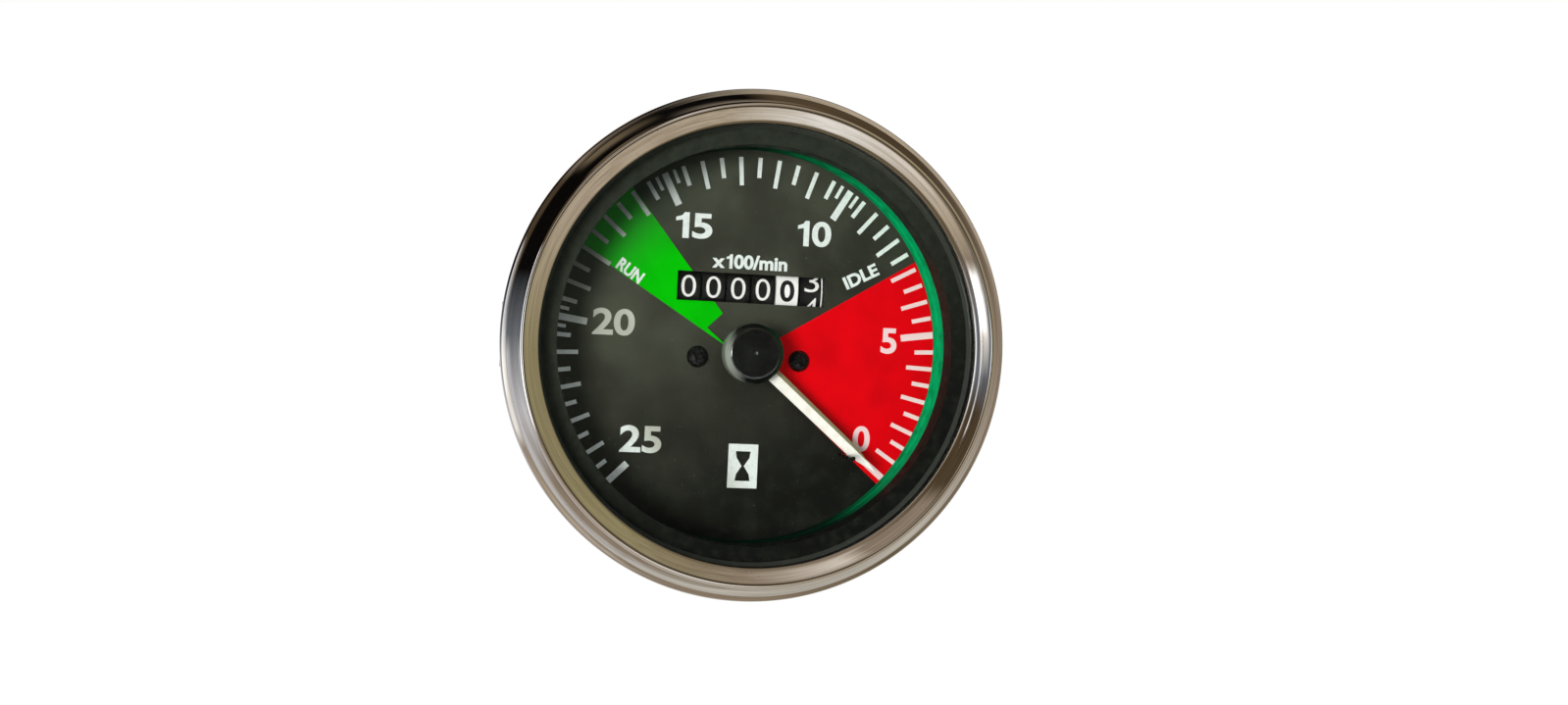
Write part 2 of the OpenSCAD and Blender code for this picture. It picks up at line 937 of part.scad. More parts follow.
module hairspring_stud() {
    color(brass)
        placed()
            translate([spring_r + spring_t / 2 + stud_pin_d / 2, axis_y, 0])
                rod(stud_pin_d / 2, bridge_front, collet_bottom + collet_h);
}

// Strip across the two posts that holds the spindle's front bush
module spindle_bridge() {
    end_r = pillar_d / 2 + 0.8;
    color(steel)
        placed()
            difference() {
                translate([0, 0, bridge_back])
                    linear_extrude(height = bridge_t) {
                        for (spot = dial_screw_spots())
                            translate(spot)
                                circle(r = end_r);
                        translate([screw_x - screw_span / 2, axis_y - screw_drop - end_r])
                            square([screw_span, 2 * end_r]);
                        translate([0, axis_y])
                            circle(r = bush_d);
                        translate([0, axis_y - bush_d / 2])
                            square([spring_r + 2 * stud_pin_d, bush_d]);
                    }
                for (spot = dial_screw_spots())
                    translate(spot)
                        rod(post_stud_d / 2 + hole_gap, bridge_back - 1, bridge_front + 1);
                translate([0, axis_y, 0])
                    rod(bush_d / 2, bridge_back - 1, bridge_front + 1);
            }
}

module front_bush() {
    color(brass)
        placed()
            translate([0, axis_y, 0])
                ring(bush_d / 2, spindle_d / 2 + run_gap, bridge_back - 0.5, bridge_front + bush_flange_h);
}

module rear_bush() {
    color(brass)
        placed()
            translate([0, axis_y, 0])
                ring(bush_d / 2, spindle_d / 2 + run_gap, plate_back, plate_front + 1);
}

// Cheek that carries the counter's axle and the carriers' rod
module cheek(left) {
    bottom = lay_y + third_worm_r + third_module + cheek_gap;
    nose_r = cheek_top_margin + 1.5;
    translate([left, 0, 0])
        rotate([90, 0, 90])
            linear_extrude(height = cheek_t)
                difference() {
                    union() {
                        translate([bottom, plate_front - 0.1])
                            square([rod_y + nose_r - bottom, drum_z - plate_front + 0.1]);
                        translate([drum_y, drum_z])
                            circle(r = nose_r);
                        translate([rod_y, drum_z])
                            circle(r = nose_r);
                        translate([drum_y, drum_z])
                            square([rod_y - drum_y, nose_r]);
                    }
                    translate([drum_y, drum_z])
                        circle(d = axle_d);
                    translate([rod_y, drum_z])
                        circle(d = axle_d);
                }
}

// Die-cast plate with two cheeks, two dial pillars and three legs down to the case
module movement_frame() {
    color("#a4a6a6")
        placed()
            difference() {
                union() {
                    rod(plate_r, plate_back, plate_front);
                    cheek(cheek_right);
                    cheek(cheek_left - cheek_t);
                    for (spot = dial_screw_spots())
                        translate(spot)
                            rod(pillar_d / 2, plate_front - 0.1, bridge_back);
                    for (spot = leg_spots)
                        translate(spot)
                            rod(leg_d / 2, case_floor, plate_back + 0.1);
                    translate([lay_x, lay_y, 0])
                        rod(gear_shaft_d / 2 + 1.6, plate_front - 0.1, plate_front + 4);
                }
                for (spot = lamp_spots)
                    translate(spot)
                        rod(lamp_notch_d / 2, plate_back - 1, plate_front + 1);
                for (spot = dial_screw_spots())
                    translate(spot)
                        rod(post_stud_d / 2, bridge_back - post_stud_len, bridge_back + 1);
                for (spot = leg_spots)
                    translate(spot)
                        rod(case_screw_d / 2, case_floor - 1, case_floor + case_screw_len);
                translate([lay_x, lay_y, 0])
                    rod(gear_shaft_d / 2 + run_gap, plate_back - 1, plate_front + 5);
                translate([0, axis_y, 0])
                    rod(bush_d / 2, plate_back - 1, plate_front + 1);
            }
}

module flux_ring() {
    inner = cup_d / 2 + air_gap;
    color("#6d7074")
        placed()
            translate([0, axis_y, 0])
                ring(inner + flux_t, inner, cup_back, plate_back);
}

module magnet() {
    color("#4a4b50")
        placed()
            translate([0, axis_y, 0])
                ring(cup_d / 2 - cup_t - air_gap, shaft_d / 2, magnet_front - magnet_h, magnet_front);
}

// Shaft from the magnet back to the square socket that the cable's end turns
module drive_shaft() {
    head_front = housing_front - bush_len - head_gap;
    color(steel)
        placed()
            translate([0, axis_y, 0])
                difference() {
                    union() {
                        rod(shaft_d / 2, head_front - 0.1, magnet_front);
                        rod(head_d / 2, bore_floor, head_front);
                    }
                    translate([-socket_w / 2, -socket_w / 2, bore_floor - 1])
                        cube([socket_w, socket_w, socket_len + 1]);
                }
}

module drive_worm() {
    color(brass)
        placed()
            translate([0, axis_y, cross_z])
                worm(first_worm_r, first_module, first_worm_len, -90, shaft_d / 2, -1);
}

module drive_bush() {
    color(brass)
        placed()
            translate([0, axis_y, 0])
                ring(bush_outer_d / 2, shaft_d / 2 + run_gap, housing_front - bush_len, housing_front);
}

function housing_screw_spots() = [
    for (turn = [0, 120, 240]) [0, axis_y] + toward(turn, screw_circle_r)
];

module ear(left) {
    bottom = cross_y - ear_half_h;
    translate([left, 0, 0])
        rotate([90, 0, 90])
            linear_extrude(height = ear_t)
                difference() {
                    union() {
                        translate([bottom, housing_front - 0.1])
                            square([2 * ear_half_h, cross_z - housing_front + 0.1]);
                        translate([cross_y, cross_z])
                            circle(r = ear_half_h);
                    }
                    translate([cross_y, cross_z])
                        circle(d = gear_shaft_d + 2 * run_gap);
                }
}

// Die-cast rear housing: flange, two bearing ears, a bearing boss and the threaded nipple with its
// relief behind the case
module drive_housing() {
    boss_front = cross_z - gear_half - lay_boss_gap;
    flange_low = cross_y - ear_half_h - 1;
    lobe_top = lay_y + lay_boss_d / 2 + 1;
    color("#8f9294")
        placed()
            difference() {
                union() {
                    translate([0, 0, case_floor])
                        linear_extrude(height = housing_t) {
                            translate([0, axis_y])
                                circle(r = housing_r);
                            translate([0, flange_low])
                                square([ear_right + ear_t + 1, lobe_top - flange_low]);
                        }
                    translate([0, axis_y, 0])
                        rod(nipple_d / 2, nipple_back, case_floor + 0.1);
                    translate([lay_x, lay_y, 0])
                        rod(lay_boss_d / 2, housing_front - 0.1, boss_front);
                    ear(ear_left);
                    ear(ear_right);
                }
                translate([0, axis_y, 0]) {
                    rod(bush_outer_d / 2, nipple_back - 1, housing_front + 1);
                    rod(cable_bore_d / 2, nipple_back - 1, bore_floor);
                    ring(nipple_d / 2 + 1, nipple_d / 2 - relief_depth, case_back - relief_len, case_back);
                }
                translate([lay_x, lay_y, 0])
                    rod(gear_shaft_d / 2 + run_gap, housing_front, boss_front + 1);
                for (spot = housing_screw_spots())
                    translate(spot)
                        rod(case_screw_d / 2, case_floor - 1, case_floor + short_screw_len - 0.5);
            }
}

module cross_shaft() {
    color(steel)
        placed()
            translate([ear_left, cross_y, cross_z])
                lying()
                    cylinder(d = gear_shaft_d, h = ear_right + ear_t - ear_left);
}

module cross_wheel() {
    color(brass)
        placed()
            translate([0, cross_y, cross_z])
                lying()
                    worm_wheel(first_teeth, first_module, wheel_w, 90, gear_shaft_d / 2);
}

module cross_worm() {
    color(steel)
        placed()
            translate([lay_x, cross_y, cross_z])
                lying()
                    worm(second_worm_r, second_module, second_worm_len, 90, gear_shaft_d / 2);
}

module lay_shaft() {
    color(steel)
        placed()
            translate([lay_x, lay_y, 0])
                rod(gear_shaft_d / 2, housing_front + 0.2, drum_z + third_worm_len / 2 + 1);
}

module lay_wheel() {
    color(brass)
        placed()
            translate([lay_x, lay_y, cross_z])
                worm_wheel(second_teeth, second_module, wheel_w, -90, gear_shaft_d / 2);
}

module lay_worm() {
    color(steel)
        placed()
            translate([lay_x, lay_y, drum_z])
                worm(third_worm_r, third_module, third_worm_len, 90, gear_shaft_d / 2);
}

module counter_axle() {
    color(steel)
        placed()
            translate([cheek_left - cheek_t, drum_y, drum_z])
                lying()
                    cylinder(d = axle_d, h = cheek_right + 2 * cheek_t - cheek_left);
}

module carrier_rod() {
    color(steel)
        placed()
            translate([cheek_left - cheek_t, rod_y, drum_z])
                lying()
                    cylinder(d = axle_d, h = cheek_right + 2 * cheek_t - cheek_left);
}

// Worm wheel beside the first drum, with the sleeve that joins the two
module drum_gear() {
    color(brass)
        placed()
            translate([0, drum_y, drum_z])
                lying() {
                    translate([0, 0, gear_x])
                        worm_wheel(third_teeth, third_module, wheel_w, -90, axle_d / 2 + run_gap);
                    ring(hub_r + 1.4, axle_d / 2 + run_gap, drum_right, gear_x - gear_half);
                }
}

function drum_centre(place) = drum_x + drum_pitch * ((drum_count + 1) / 2 - place);

// Ring of inward teeth, as an outline to cut out of a drum
function inner_ring_outline(teeth, module_mm, gap, tip, root) = [
    for (i = [0 : teeth - 1])
        let (
            pitch_r = teeth * module_mm / 2,
            half = (PI * module_mm / 2 + gap) / 2,
            out_half = (half - root * tan(flank_angle)) / (pitch_r + root) * 180 / PI,
            in_half = (half + tip * tan(flank_angle)) / (pitch_r - tip) * 180 / PI,
            a = 360 * i / teeth
        )
        each [
            (pitch_r - tip) * [cos(a - in_half), sin(a - in_half)],
            (pitch_r + root) * [cos(a - out_half), sin(a - out_half)],
            (pitch_r + root) * [cos(a + out_half), sin(a + out_half)],
            (pitch_r - tip) * [cos(a + in_half), sin(a + in_half)]
        ]
];

// Hollow number drum, counted from the right: inner teeth on its right, two carry teeth on its left
module number_drum(place) {
    recess = (drum_w - web_t) / 2;
    inner_r = drum_r - rim_t;
    ring_pitch_r = counter_module * ring_teeth / 2;
    translate([drum_centre(place), drum_y, drum_z])
        lying() {
            difference() {
                cylinder(r = drum_r, h = drum_w, center = true);
                translate([0, 0, web_t / 2])
                    linear_extrude(height = recess + 1)
                        difference() {
                            rotate(90)
                                polygon(inner_ring_outline(
                                    ring_teeth, counter_module, counter_backlash, pinion_tip, pinion_root
                                ));
                            circle(r = hub_r);
                        }
                translate([0, 0, -web_t / 2 - recess - 1])
                    linear_extrude(height = recess + 1)
                        difference() {
                            circle(r = inner_r);
                            circle(r = hub_r);
                            if (place < drum_count)
                                for (side = [-1, 1])
                                    rotate(90 + carry_angle + side * 180 / ring_teeth)
                                        translate([ring_pitch_r - pinion_tip, -counter_module / 2])
                                            square([2 * pinion_tip + rim_t, counter_module]);
                        }
                cylinder(r = axle_d / 2 + run_gap, h = 2 * drum_w, center = true);
            }
        }
}

module dark_drum(place) {
    color("#17181a")
        placed()
            number_drum(place);
}

module drum_1() {
    dark_drum(1);
}

// Second drum, white, shows the full hours
module drum_2() {
    color("#ece9e2")
        placed()
            number_drum(2);
}

module drum_3() {
    dark_drum(3);
}

module drum_4() {
    dark_drum(4);
}

module drum_5() {
    dark_drum(5);
}

module drum_6() {
    dark_drum(6);
}

// Two half gears on a neck that runs in the carrier's notch: six teeth left, three teeth right
module transfer_pinion(place) {
    side = carrier_t / 2 + (drum_pitch - drum_w - carrier_t) / 2 + pinion_side_gap - 0.05;
    root_r = counter_module * pinion_teeth / 2 - pinion_root;
    outline = gear_outline(pinion_teeth, counter_module, counter_backlash, pinion_tip, pinion_root);
    color("#d8d2c0")
        placed()
            translate([drum_centre(place) - drum_pitch / 2, pinion_y, drum_z])
                lying() {
                    cylinder(r = root_r - 0.2, h = 2 * side + 0.2, center = true);
                    translate([0, 0, -side - pinion_half])
                        linear_extrude(height = pinion_half)
                            rotate(90)
                                polygon(outline);
                    translate([0, 0, side])
                        linear_extrude(height = pinion_half)
                            rotate(90)
                                intersection() {
                                    polygon(outline);
                                    union() {
                                        circle(r = root_r + 0.1);
                                        for (turn = [60, 180, 300])
                                            rotate(turn)
                                                translate([0, -counter_module])
                                                    square([2 * hub_r, 2 * counter_module]);
                                    }
                                }
                }
}

module transfer_pinion_1() {
    transfer_pinion(1);
}

module transfer_pinion_2() {
    transfer_pinion(2);
}

module transfer_pinion_3() {
    transfer_pinion(3);
}

module transfer_pinion_4() {
    transfer_pinion(4);
}

module transfer_pinion_5() {
    transfer_pinion(5);
}

// Thin plates between the drums, notched for the pinions and held by the rod
module pinion_carriers() {
    neck_r = counter_module * pinion_teeth / 2 - pinion_root - 0.2;
    color("#5d5f62")
        placed()
            for (place = [1 : drum_count - 1])
                translate([drum_centre(place) - drum_pitch / 2, 0, drum_z])
                    rotate([90, 0, 90])
                        linear_extrude(height = carrier_t, center = true)
                            difference() {
                                union() {
                                    translate([drum_y, 0])
                                        circle(r = carrier_r);
                                    translate([drum_y, -carrier_arm_w / 2 - neck_r])
                                        square([rod_rise, carrier_arm_w + 2 * neck_r]);
                                    translate([rod_y, 0])
                                        circle(r = carrier_arm_w / 2 + neck_r);
                                }
                                translate([drum_y, 0])
                                    circle(d = axle_d + 2 * run_gap);
                                translate([rod_y, 0])
                                    circle(d = axle_d + 2 * run_gap);
                                translate([pinion_y, 0])
                                    circle(r = neck_r + run_gap);
                                translate([pinion_y, -neck_r - run_gap])
                                    square([drum_r - pinion_y + drum_y - 1, 2 * neck_r + 2 * run_gap]);
                            }
}

// Screws from behind: three into the frame's legs, three short ones into the drive housing
module case_screws() {
    color(steel)
        placed() {
            for (spot = leg_spots)
                translate([spot[0], spot[1], case_back])
                    rotate([180, 0, 0])
                        pan_screw(case_screw_head_d / 2, case_screw_head_h, case_screw_d / 2, case_screw_len);
            for (spot = housing_screw_spots())
                translate([spot[0], spot[1], case_back])
                    rotate([180, 0, 0])
                        pan_screw(
                            case_screw_head_d / 2, case_screw_head_h, case_screw_d / 2, short_screw_len
                        );
        }
}

// Push-in lamp holders: barrel, flange, insulated cap and contact
module lamp_holders() {
    flange_back = case_back - holder_flange_t;
    cap_back = flange_back - holder_cap_h;
    barrel_front = case_back + holder_inside;
    color(brass)
        placed()
            for (spot = lamp_spots)
                translate(spot)
                    difference() {
                        union() {
                            rod(holder_d / 2, case_back - 0.1, barrel_front);
                            rod(holder_flange_d / 2, flange_back, case_back);
                            rod(holder_cap_d / 2, cap_back, flange_back + 0.1);
                            rod(contact_d / 2, cap_back - contact_h, cap_back + 0.1);
                        }
                        rod(holder_d / 2 - holder_wall, case_back + 1, barrel_front + 1);
                    }
}

module lamp_bulbs() {
    base_front = case_back + holder_inside + 1;
    color("#e8e4c8", 0.6)
        placed()
            for (spot = lamp_spots)
                translate(spot) {
                    rod(bulb_base_d / 2, case_back + 1, base_front);
                    rod(bulb_d / 2, base_front, base_front + bulb_len - bulb_d / 2);
                    translate([0, 0, base_front + bulb_len - bulb_d / 2])
                        sphere(d = bulb_d);
                }
}

module mounting_studs() {
    color(steel)
        placed()
            for (side = [-1, 1])
                translate([side * stud_x, 0, 0]) {
                    rod(stud_head_d / 2, case_floor, case_floor + stud_head_t);
                    rod(stud_d / 2, case_back - stud_len, case_floor + 0.1);
                }
}

// U-shaped strap over the case's back, with splayed legs whose two feet press on the panel's rear face
module clamp_bracket() {
    outer = leg_inner + strap_t;
    foot_back = -panel_t - strap_foot;
    span = concat(
        [[-outer, -panel_t], [-outer, foot_back]],
        arc([-leg_rear + strap_bend, strap_back + strap_bend], strap_bend, 180, 270),
        arc([leg_rear - strap_bend, strap_back + strap_bend], strap_bend, -90, 0),
        [[outer, foot_back], [outer, -panel_t]]
    );
    color("#8b8d8f")
        placed()
            difference() {
                union() {
                    translate([0, strap_w / 2, 0])
                        rotate([90, 0, 0])
                            linear_extrude(height = strap_w)
                                polygon(sheet_outline(span, strap_t));
                    rod(strap_hub_d / 2, strap_back, strap_front);
                }
                translate([0, axis_y, 0])
                    rod(nipple_d / 2 + nipple_gap, strap_back - 1, strap_front + 1);
                for (side = [-1, 1])
                    translate([side * stud_x, 0, 0])
                        rod(stud_d / 2 + strap_hole_gap, strap_back - 1, strap_front + 1);
            }
}

module spring_washers() {
    color(steel)
        placed()
            for (side = [-1, 1])
                translate([side * stud_x, 0, 0])
                    difference() {
                        ring(washer_d / 2, stud_d / 2 + hole_gap, strap_back - washer_t, strap_back);
                        translate([0, -washer_split / 2, strap_back - washer_t - 1])
                            cube([washer_d, washer_split, washer_t + 2]);
                    }
}

module clamp_nuts() {
    nut_front = strap_back - washer_t;
    color(steel)
        placed()
            for (side = [-1, 1])
                translate([side * stud_x, 0, nut_front - nut_h])
                    difference() {
                        cylinder(d = nut_w / cos(30), h = nut_h, $fn = 6);
                        translate([0, 0, -1])
                            cylinder(d = stud_d, h = nut_h + 2);
                    }
}

bezel();
glass();
glass_gasket();
visor_ring();
light_ring();
case();
panel_seal();
dial_plate();
dial_screws();
dial_posts();
stop_pin();
pointer_blade();
hub_cap();
pointer_boss();
pointer_spindle();
spring_collet();
drag_cup();
hairspring();
hairspring_stud();
spindle_bridge();
front_bush();
movement_frame();
rear_bush();
flux_ring();
magnet();
drive_shaft();
drive_worm();
drive_bush();
drive_housing();
cross_shaft();
cross_wheel();
cross_worm();
lay_shaft();
lay_wheel();
lay_worm();
counter_axle();
drum_gear();
drum_1();
drum_2();
drum_3();
drum_4();
drum_5();
drum_6();
transfer_pinion_1();
transfer_pinion_2();
transfer_pinion_3();
transfer_pinion_4();
transfer_pinion_5();
pinion_carriers();
carrier_rod();
case_screws();
lamp_holders();
lamp_bulbs();
mounting_studs();
clamp_bracket();
spring_washers();
clamp_nuts();
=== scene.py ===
"""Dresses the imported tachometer: studio, chromed ring, glazed well, printed dial, counter and rear."""

import logging
import math
import re
from dataclasses import dataclass
from enum import Enum
from functools import reduce

import bmesh
import bpy
from mathutils import Matrix, Vector


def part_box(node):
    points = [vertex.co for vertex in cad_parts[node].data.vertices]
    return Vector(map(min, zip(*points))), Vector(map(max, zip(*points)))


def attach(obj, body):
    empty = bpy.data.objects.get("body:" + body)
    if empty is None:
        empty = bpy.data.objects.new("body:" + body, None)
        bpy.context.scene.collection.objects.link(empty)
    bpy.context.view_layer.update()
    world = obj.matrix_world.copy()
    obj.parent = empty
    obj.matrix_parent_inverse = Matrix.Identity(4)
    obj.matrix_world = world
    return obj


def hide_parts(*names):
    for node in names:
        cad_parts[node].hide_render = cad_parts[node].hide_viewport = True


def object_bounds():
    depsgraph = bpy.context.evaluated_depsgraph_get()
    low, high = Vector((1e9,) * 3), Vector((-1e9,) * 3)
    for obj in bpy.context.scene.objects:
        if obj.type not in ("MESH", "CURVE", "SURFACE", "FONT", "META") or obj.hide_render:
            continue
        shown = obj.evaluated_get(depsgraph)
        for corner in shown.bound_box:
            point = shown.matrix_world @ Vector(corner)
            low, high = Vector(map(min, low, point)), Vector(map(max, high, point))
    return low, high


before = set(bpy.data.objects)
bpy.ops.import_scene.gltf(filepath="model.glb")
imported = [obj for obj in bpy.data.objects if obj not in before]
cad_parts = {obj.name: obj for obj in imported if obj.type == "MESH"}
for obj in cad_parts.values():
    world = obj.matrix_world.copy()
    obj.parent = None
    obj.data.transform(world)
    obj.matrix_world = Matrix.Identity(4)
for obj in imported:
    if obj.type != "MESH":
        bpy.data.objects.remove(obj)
cad_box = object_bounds()

log = logging.getLogger("tachometer")

MM = 0.001
ROOT_BODY = "instrument"
SKIRT_LEVEL = -3.4  # where the visor's skirt ends, in millimetres in front of the panel
LETTER_GAP = 0.07  # between a 1 and its neighbours, in line heights
SHARP_EDGE = math.radians(34)
FLAT_EDGE = math.radians(0.5)
MERGE_GAP = 0.002 * MM
ROUND_SLACK = 0.02 * MM  # how far a corner may lie off the rod that it belongs to
FIGURE_TURN = math.radians(36)  # from figure to figure on a drum
SEEN = ("Camera", "Glossy", "Transmission")  # the rays to the camera, also by metal or through glass

Colour = tuple[float, float, float]
Pair = tuple[float, float]
Path = list[Pair]
Stops = tuple[tuple[float, Colour], ...]
Socket = bpy.types.NodeSocket
Value = float | Colour | Vector | Socket
Shape = bmesh.types.BMesh


def srgb(red: int, green: int, blue: int) -> Colour:
    """Turns a colour as seen on screen, in parts from 0 to 255, into a linear one."""
    shares = [channel / 255 for channel in (red, green, blue)]
    return tuple(s / 12.92 if s <= 0.04045 else ((s + 0.055) / 1.055) ** 2.4 for s in shares)


def spot(right: float, up: float, level: float) -> Vector:
    """Returns the frame's point for millimetres to the right, upwards and in front of the panel."""
    return Vector((right, -level, up)) * MM


def clock(angle: float, radius: float) -> Pair:
    """Returns the point at a radius and an angle in degrees clockwise from 12 o'clock."""
    return radius * math.sin(math.radians(angle)), radius * math.cos(math.radians(angle))


def arc(centre: Pair, radius: float, start: float, end: float, steps: int) -> Path:
    """Returns an arc of a revolved outline, by angles in degrees that rise from outwards to the viewer."""
    turns = [math.radians(start + (end - start) * i / steps) for i in range(steps + 1)]
    return [(centre[0] + radius * math.cos(t), centre[1] + radius * math.sin(t)) for t in turns]


def measure(node: str) -> tuple[float, float, float]:
    """Returns a round node's outer radius and the levels of its back and front, in millimetres."""
    low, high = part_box(node)
    return high.x / MM, -high.y / MM, -low.y / MM


class Shading:
    """Short ways to add and join the nodes of one shader tree."""

    def __init__(self, tree: bpy.types.NodeTree) -> None:
        """Takes the tree that the nodes go into."""
        self.tree = tree

    def add(self, kind: str, *values: Value, **settings: object) -> bpy.types.Node:
        """Adds a node.

        Args:
            kind: The node's type, without its common beginning.
            values: What its first inputs get, in their order.
            settings: Properties to set on it.

        Returns:
            The node.
        """
        node = self.tree.nodes.new("ShaderNode" + kind)
        for key, value in settings.items():
            setattr(node, key, value)
        for socket, value in zip(node.inputs, values):
            self.feed(socket, value)
        return node

    def out(self, kind: str, *values: Value, **settings: object) -> Socket:
        """Adds a node in the same way and returns its first output."""
        return self.add(kind, *values, **settings).outputs[0]

    def feed(self, socket: Socket, value: Value) -> None:
        """Links a socket to another one, or sets its value.

        Args:
            socket: The input.
            value: An output to link, or the value to set.
        """
        if isinstance(value, Socket):
            self.tree.links.new(value, socket)
        elif socket.type == "RGBA":
            socket.default_value = (*value, 1.0)
        else:
            socket.default_value = value

    def wire(self, node: bpy.types.Node, **values: Value) -> None:
        """Sets or links a node's inputs, named with underscores for blanks."""
        for key, value in values.items():
            self.feed(node.inputs[key.replace("_", " ")], value)

    def math(self, operation: str, first: Value, second: Value = 0.0) -> Socket:
        """Returns the outcome of one sum."""
        return self.out("Math", first, second, operation=operation)

    def times(self, first: Value, second: Value) -> Socket:
        """Returns the product of two numbers."""
        return self.math("MULTIPLY", first, second)

    def dot(self, vector: Value, other: Value) -> Socket:
        """Returns the dot product of two vectors."""
        return self.add("VectorMath", vector, other, operation="DOT_PRODUCT").outputs["Value"]

    def parts(self, vector: Value) -> tuple[Socket, Socket, Socket]:
        """Returns a vector's three parts."""
        return tuple(self.add("SeparateXYZ", vector).outputs)

    def whole(self, x: Value, y: Value, z: Value) -> Socket:
        """Returns the vector of three parts."""
        return self.out("CombineXYZ", x, y, z)

    def band(self, value: Socket, low: float, high: float, start: float = 0.0, end: float = 1.0) -> Socket:
        """Returns a number that eases from start to end while a value rises from low to high."""
        return self.out("MapRange", value, low, high, start, end, interpolation_type="SMOOTHSTEP")

    def noise(self, vector: Value, scale: float, detail: float = 3.0, rough: float = 0.5) -> Socket:
        """Returns clouds, spots or streaks from 0 to 1; the scale is per metre on plain coordinates."""
        return self.out("TexNoise", vector, 0.0, scale, detail, rough)

    def rays(self, *kinds: str) -> Socket:
        """Returns 1 for rays of some kinds, named as on the light path's node, else 0."""
        found = [self.add("LightPath").outputs[f"Is {kind} Ray"] for kind in kinds]
        return reduce(lambda one, other: self.math("MAXIMUM", one, other), found)

    def ramp(self, value: Value, stops: Stops) -> Socket:
        """Colours a number.

        Args:
            value: The number.
            stops: Places from 0 to 1 and the colours there.

        Returns:
            The colour.
        """
        node = self.add("ValToRGB", value)
        elements = node.color_ramp.elements
        while len(elements) < len(stops):
            elements.new(1.0)
        for element, (place, colour) in zip(elements, stops):
            element.position = place
            element.color = (*colour, 1.0)
        return node.outputs[0]

    def mix(self, share: Value, first: Value, second: Value, way: str = "MIX") -> Socket:
        """Mixes two colours.

        Args:
            share: Share of the second colour.
            first: The first colour.
            second: The second colour.
            way: How they are mixed.

        Returns:
            The mixed colour.
        """
        node = self.add("Mix", share, data_type="RGBA", blend_type=way)
        self.feed(node.inputs[6], first)
        self.feed(node.inputs[7], second)
        return node.outputs[2]


class Surface(Shading):
    """A material in the making, with its main shader."""

    def __init__(self, name: str) -> None:
        """Starts a material.

        Args:
            name: Its name.
        """
        self.material = bpy.data.materials.new(name)
        self.material.use_nodes = True
        super().__init__(self.material.node_tree)
        self.shader = self.tree.nodes["Principled BSDF"]
        self.output = self.tree.nodes["Material Output"]
        self.place = self.add("TexCoord").outputs["Object"]

    def set(self, **values: Value) -> None:
        """Sets or links inputs of the main shader, named with underscores for blanks."""
        self.wire(self.shader, **values)

    def bump(self, height: Socket, depth: float, strength: float = 1.0) -> None:
        """Adds relief.

        Args:
            height: The relief, from 0 to 1.
            depth: Its depth in millimetres.
            strength: How much of it counts.
        """
        node = self.add("Bump")
        self.wire(node, Strength=strength, Distance=depth * MM, Height=height)
        self.set(Normal=node.outputs[0])

    def dust(self) -> Socket:
        """Returns how far dust and painted light lie on a surface: 0 at the lower right, rising to 1 at the
        upper left.
        """
        return self.band(self.dot(self.place, Vector((-0.5, 0.0, 0.86))), -0.036, 0.03)

    def rings(self, fineness: float, wander: float) -> Socket:
        """Draws fine lines round the case's axis.

        Args:
            fineness: Lines per metre across the surface.
            wander: How much the lines change along the way round.

        Returns:
            The pattern, from 0 to 1.
        """
        x, y, z = self.parts(self.place)
        radius = self.math("SQRT", self.math("ADD", self.times(x, x), self.times(z, z)))
        slow = self.noise(self.place, 30.0, 1.0)
        across, along = self.times(radius, fineness), self.times(y, fineness)
        return self.noise(self.whole(across, along, self.times(slow, wander)), 1.0, 3.0)


@dataclass(frozen=True)
class Finish:
    """A surface of one colour with cloudy variation, fine relief and uneven gloss.

    Attributes:
        name: The material's name.
        slot: The record's material slot; not used.
        colour: Main linear colour.
        second: Colour of the spots of wear, dust or shading; glass has none.
        share: How much of the second colour shows.
        cloud: Size of the spots in millimetres.
        roughness: Middle of the roughness.
        spread: How far the roughness varies.
        grain: Size of the relief's grain in millimetres.
        relief: Depth of the relief in millimetres.
        metallic: 1 for bare metal.
        shine: Specular level of a surface that isn't metal.
    """

    name: str
    slot: str
    colour: Colour
    second: Colour = (1.0, 1.0, 1.0)
    share: float = 0.5
    cloud: float = 4.0
    roughness: float = 0.45
    spread: float = 0.12
    grain: float = 0.15
    relief: float = 0.01
    metallic: float = 0.0
    shine: float = 0.5

    def material(self) -> bpy.types.Material:
        """Makes the material at its first use.

        Returns:
            The material.
        """
        if self.name not in bpy.data.materials:
            self.shade(Surface(self.name))
        return bpy.data.materials[self.name]

    def clouds(self, surface: Surface) -> Socket:
        """Returns the pattern of spots, from 0 to 1."""
        return surface.band(surface.noise(surface.place, 1 / (self.cloud * MM), 5.0, 0.62), 0.42, 0.72)

    def tint(self, surface: Surface) -> Socket:
        """Returns the main colour with the second one in spots."""
        return surface.mix(surface.times(self.clouds(surface), self.share), self.colour, self.second)

    def gloss(self, surface: Surface, pattern: Socket, low: float, high: float) -> Socket:
        """Returns a roughness that rises over its spread while a pattern rises from low to high."""
        return surface.band(pattern, low, high, self.roughness - self.spread, self.roughness + self.spread)

    def shade(self, surface: Surface) -> None:
        """Builds the shader.

        Args:
            surface: The surface that gets it.
        """
        spots = self.clouds(surface)
        fine = surface.noise(surface.place, 1 / (self.grain * MM), 2.0)
        surface.set(
            Base_Color=surface.mix(surface.times(spots, self.share), self.colour, self.second),
            Roughness=self.gloss(surface, surface.math("ADD", spots, fine), 0.3, 1.5),
            Metallic=self.metallic,
            Specular_IOR_Level=self.shine,
        )
        surface.bump(fine, self.relief)


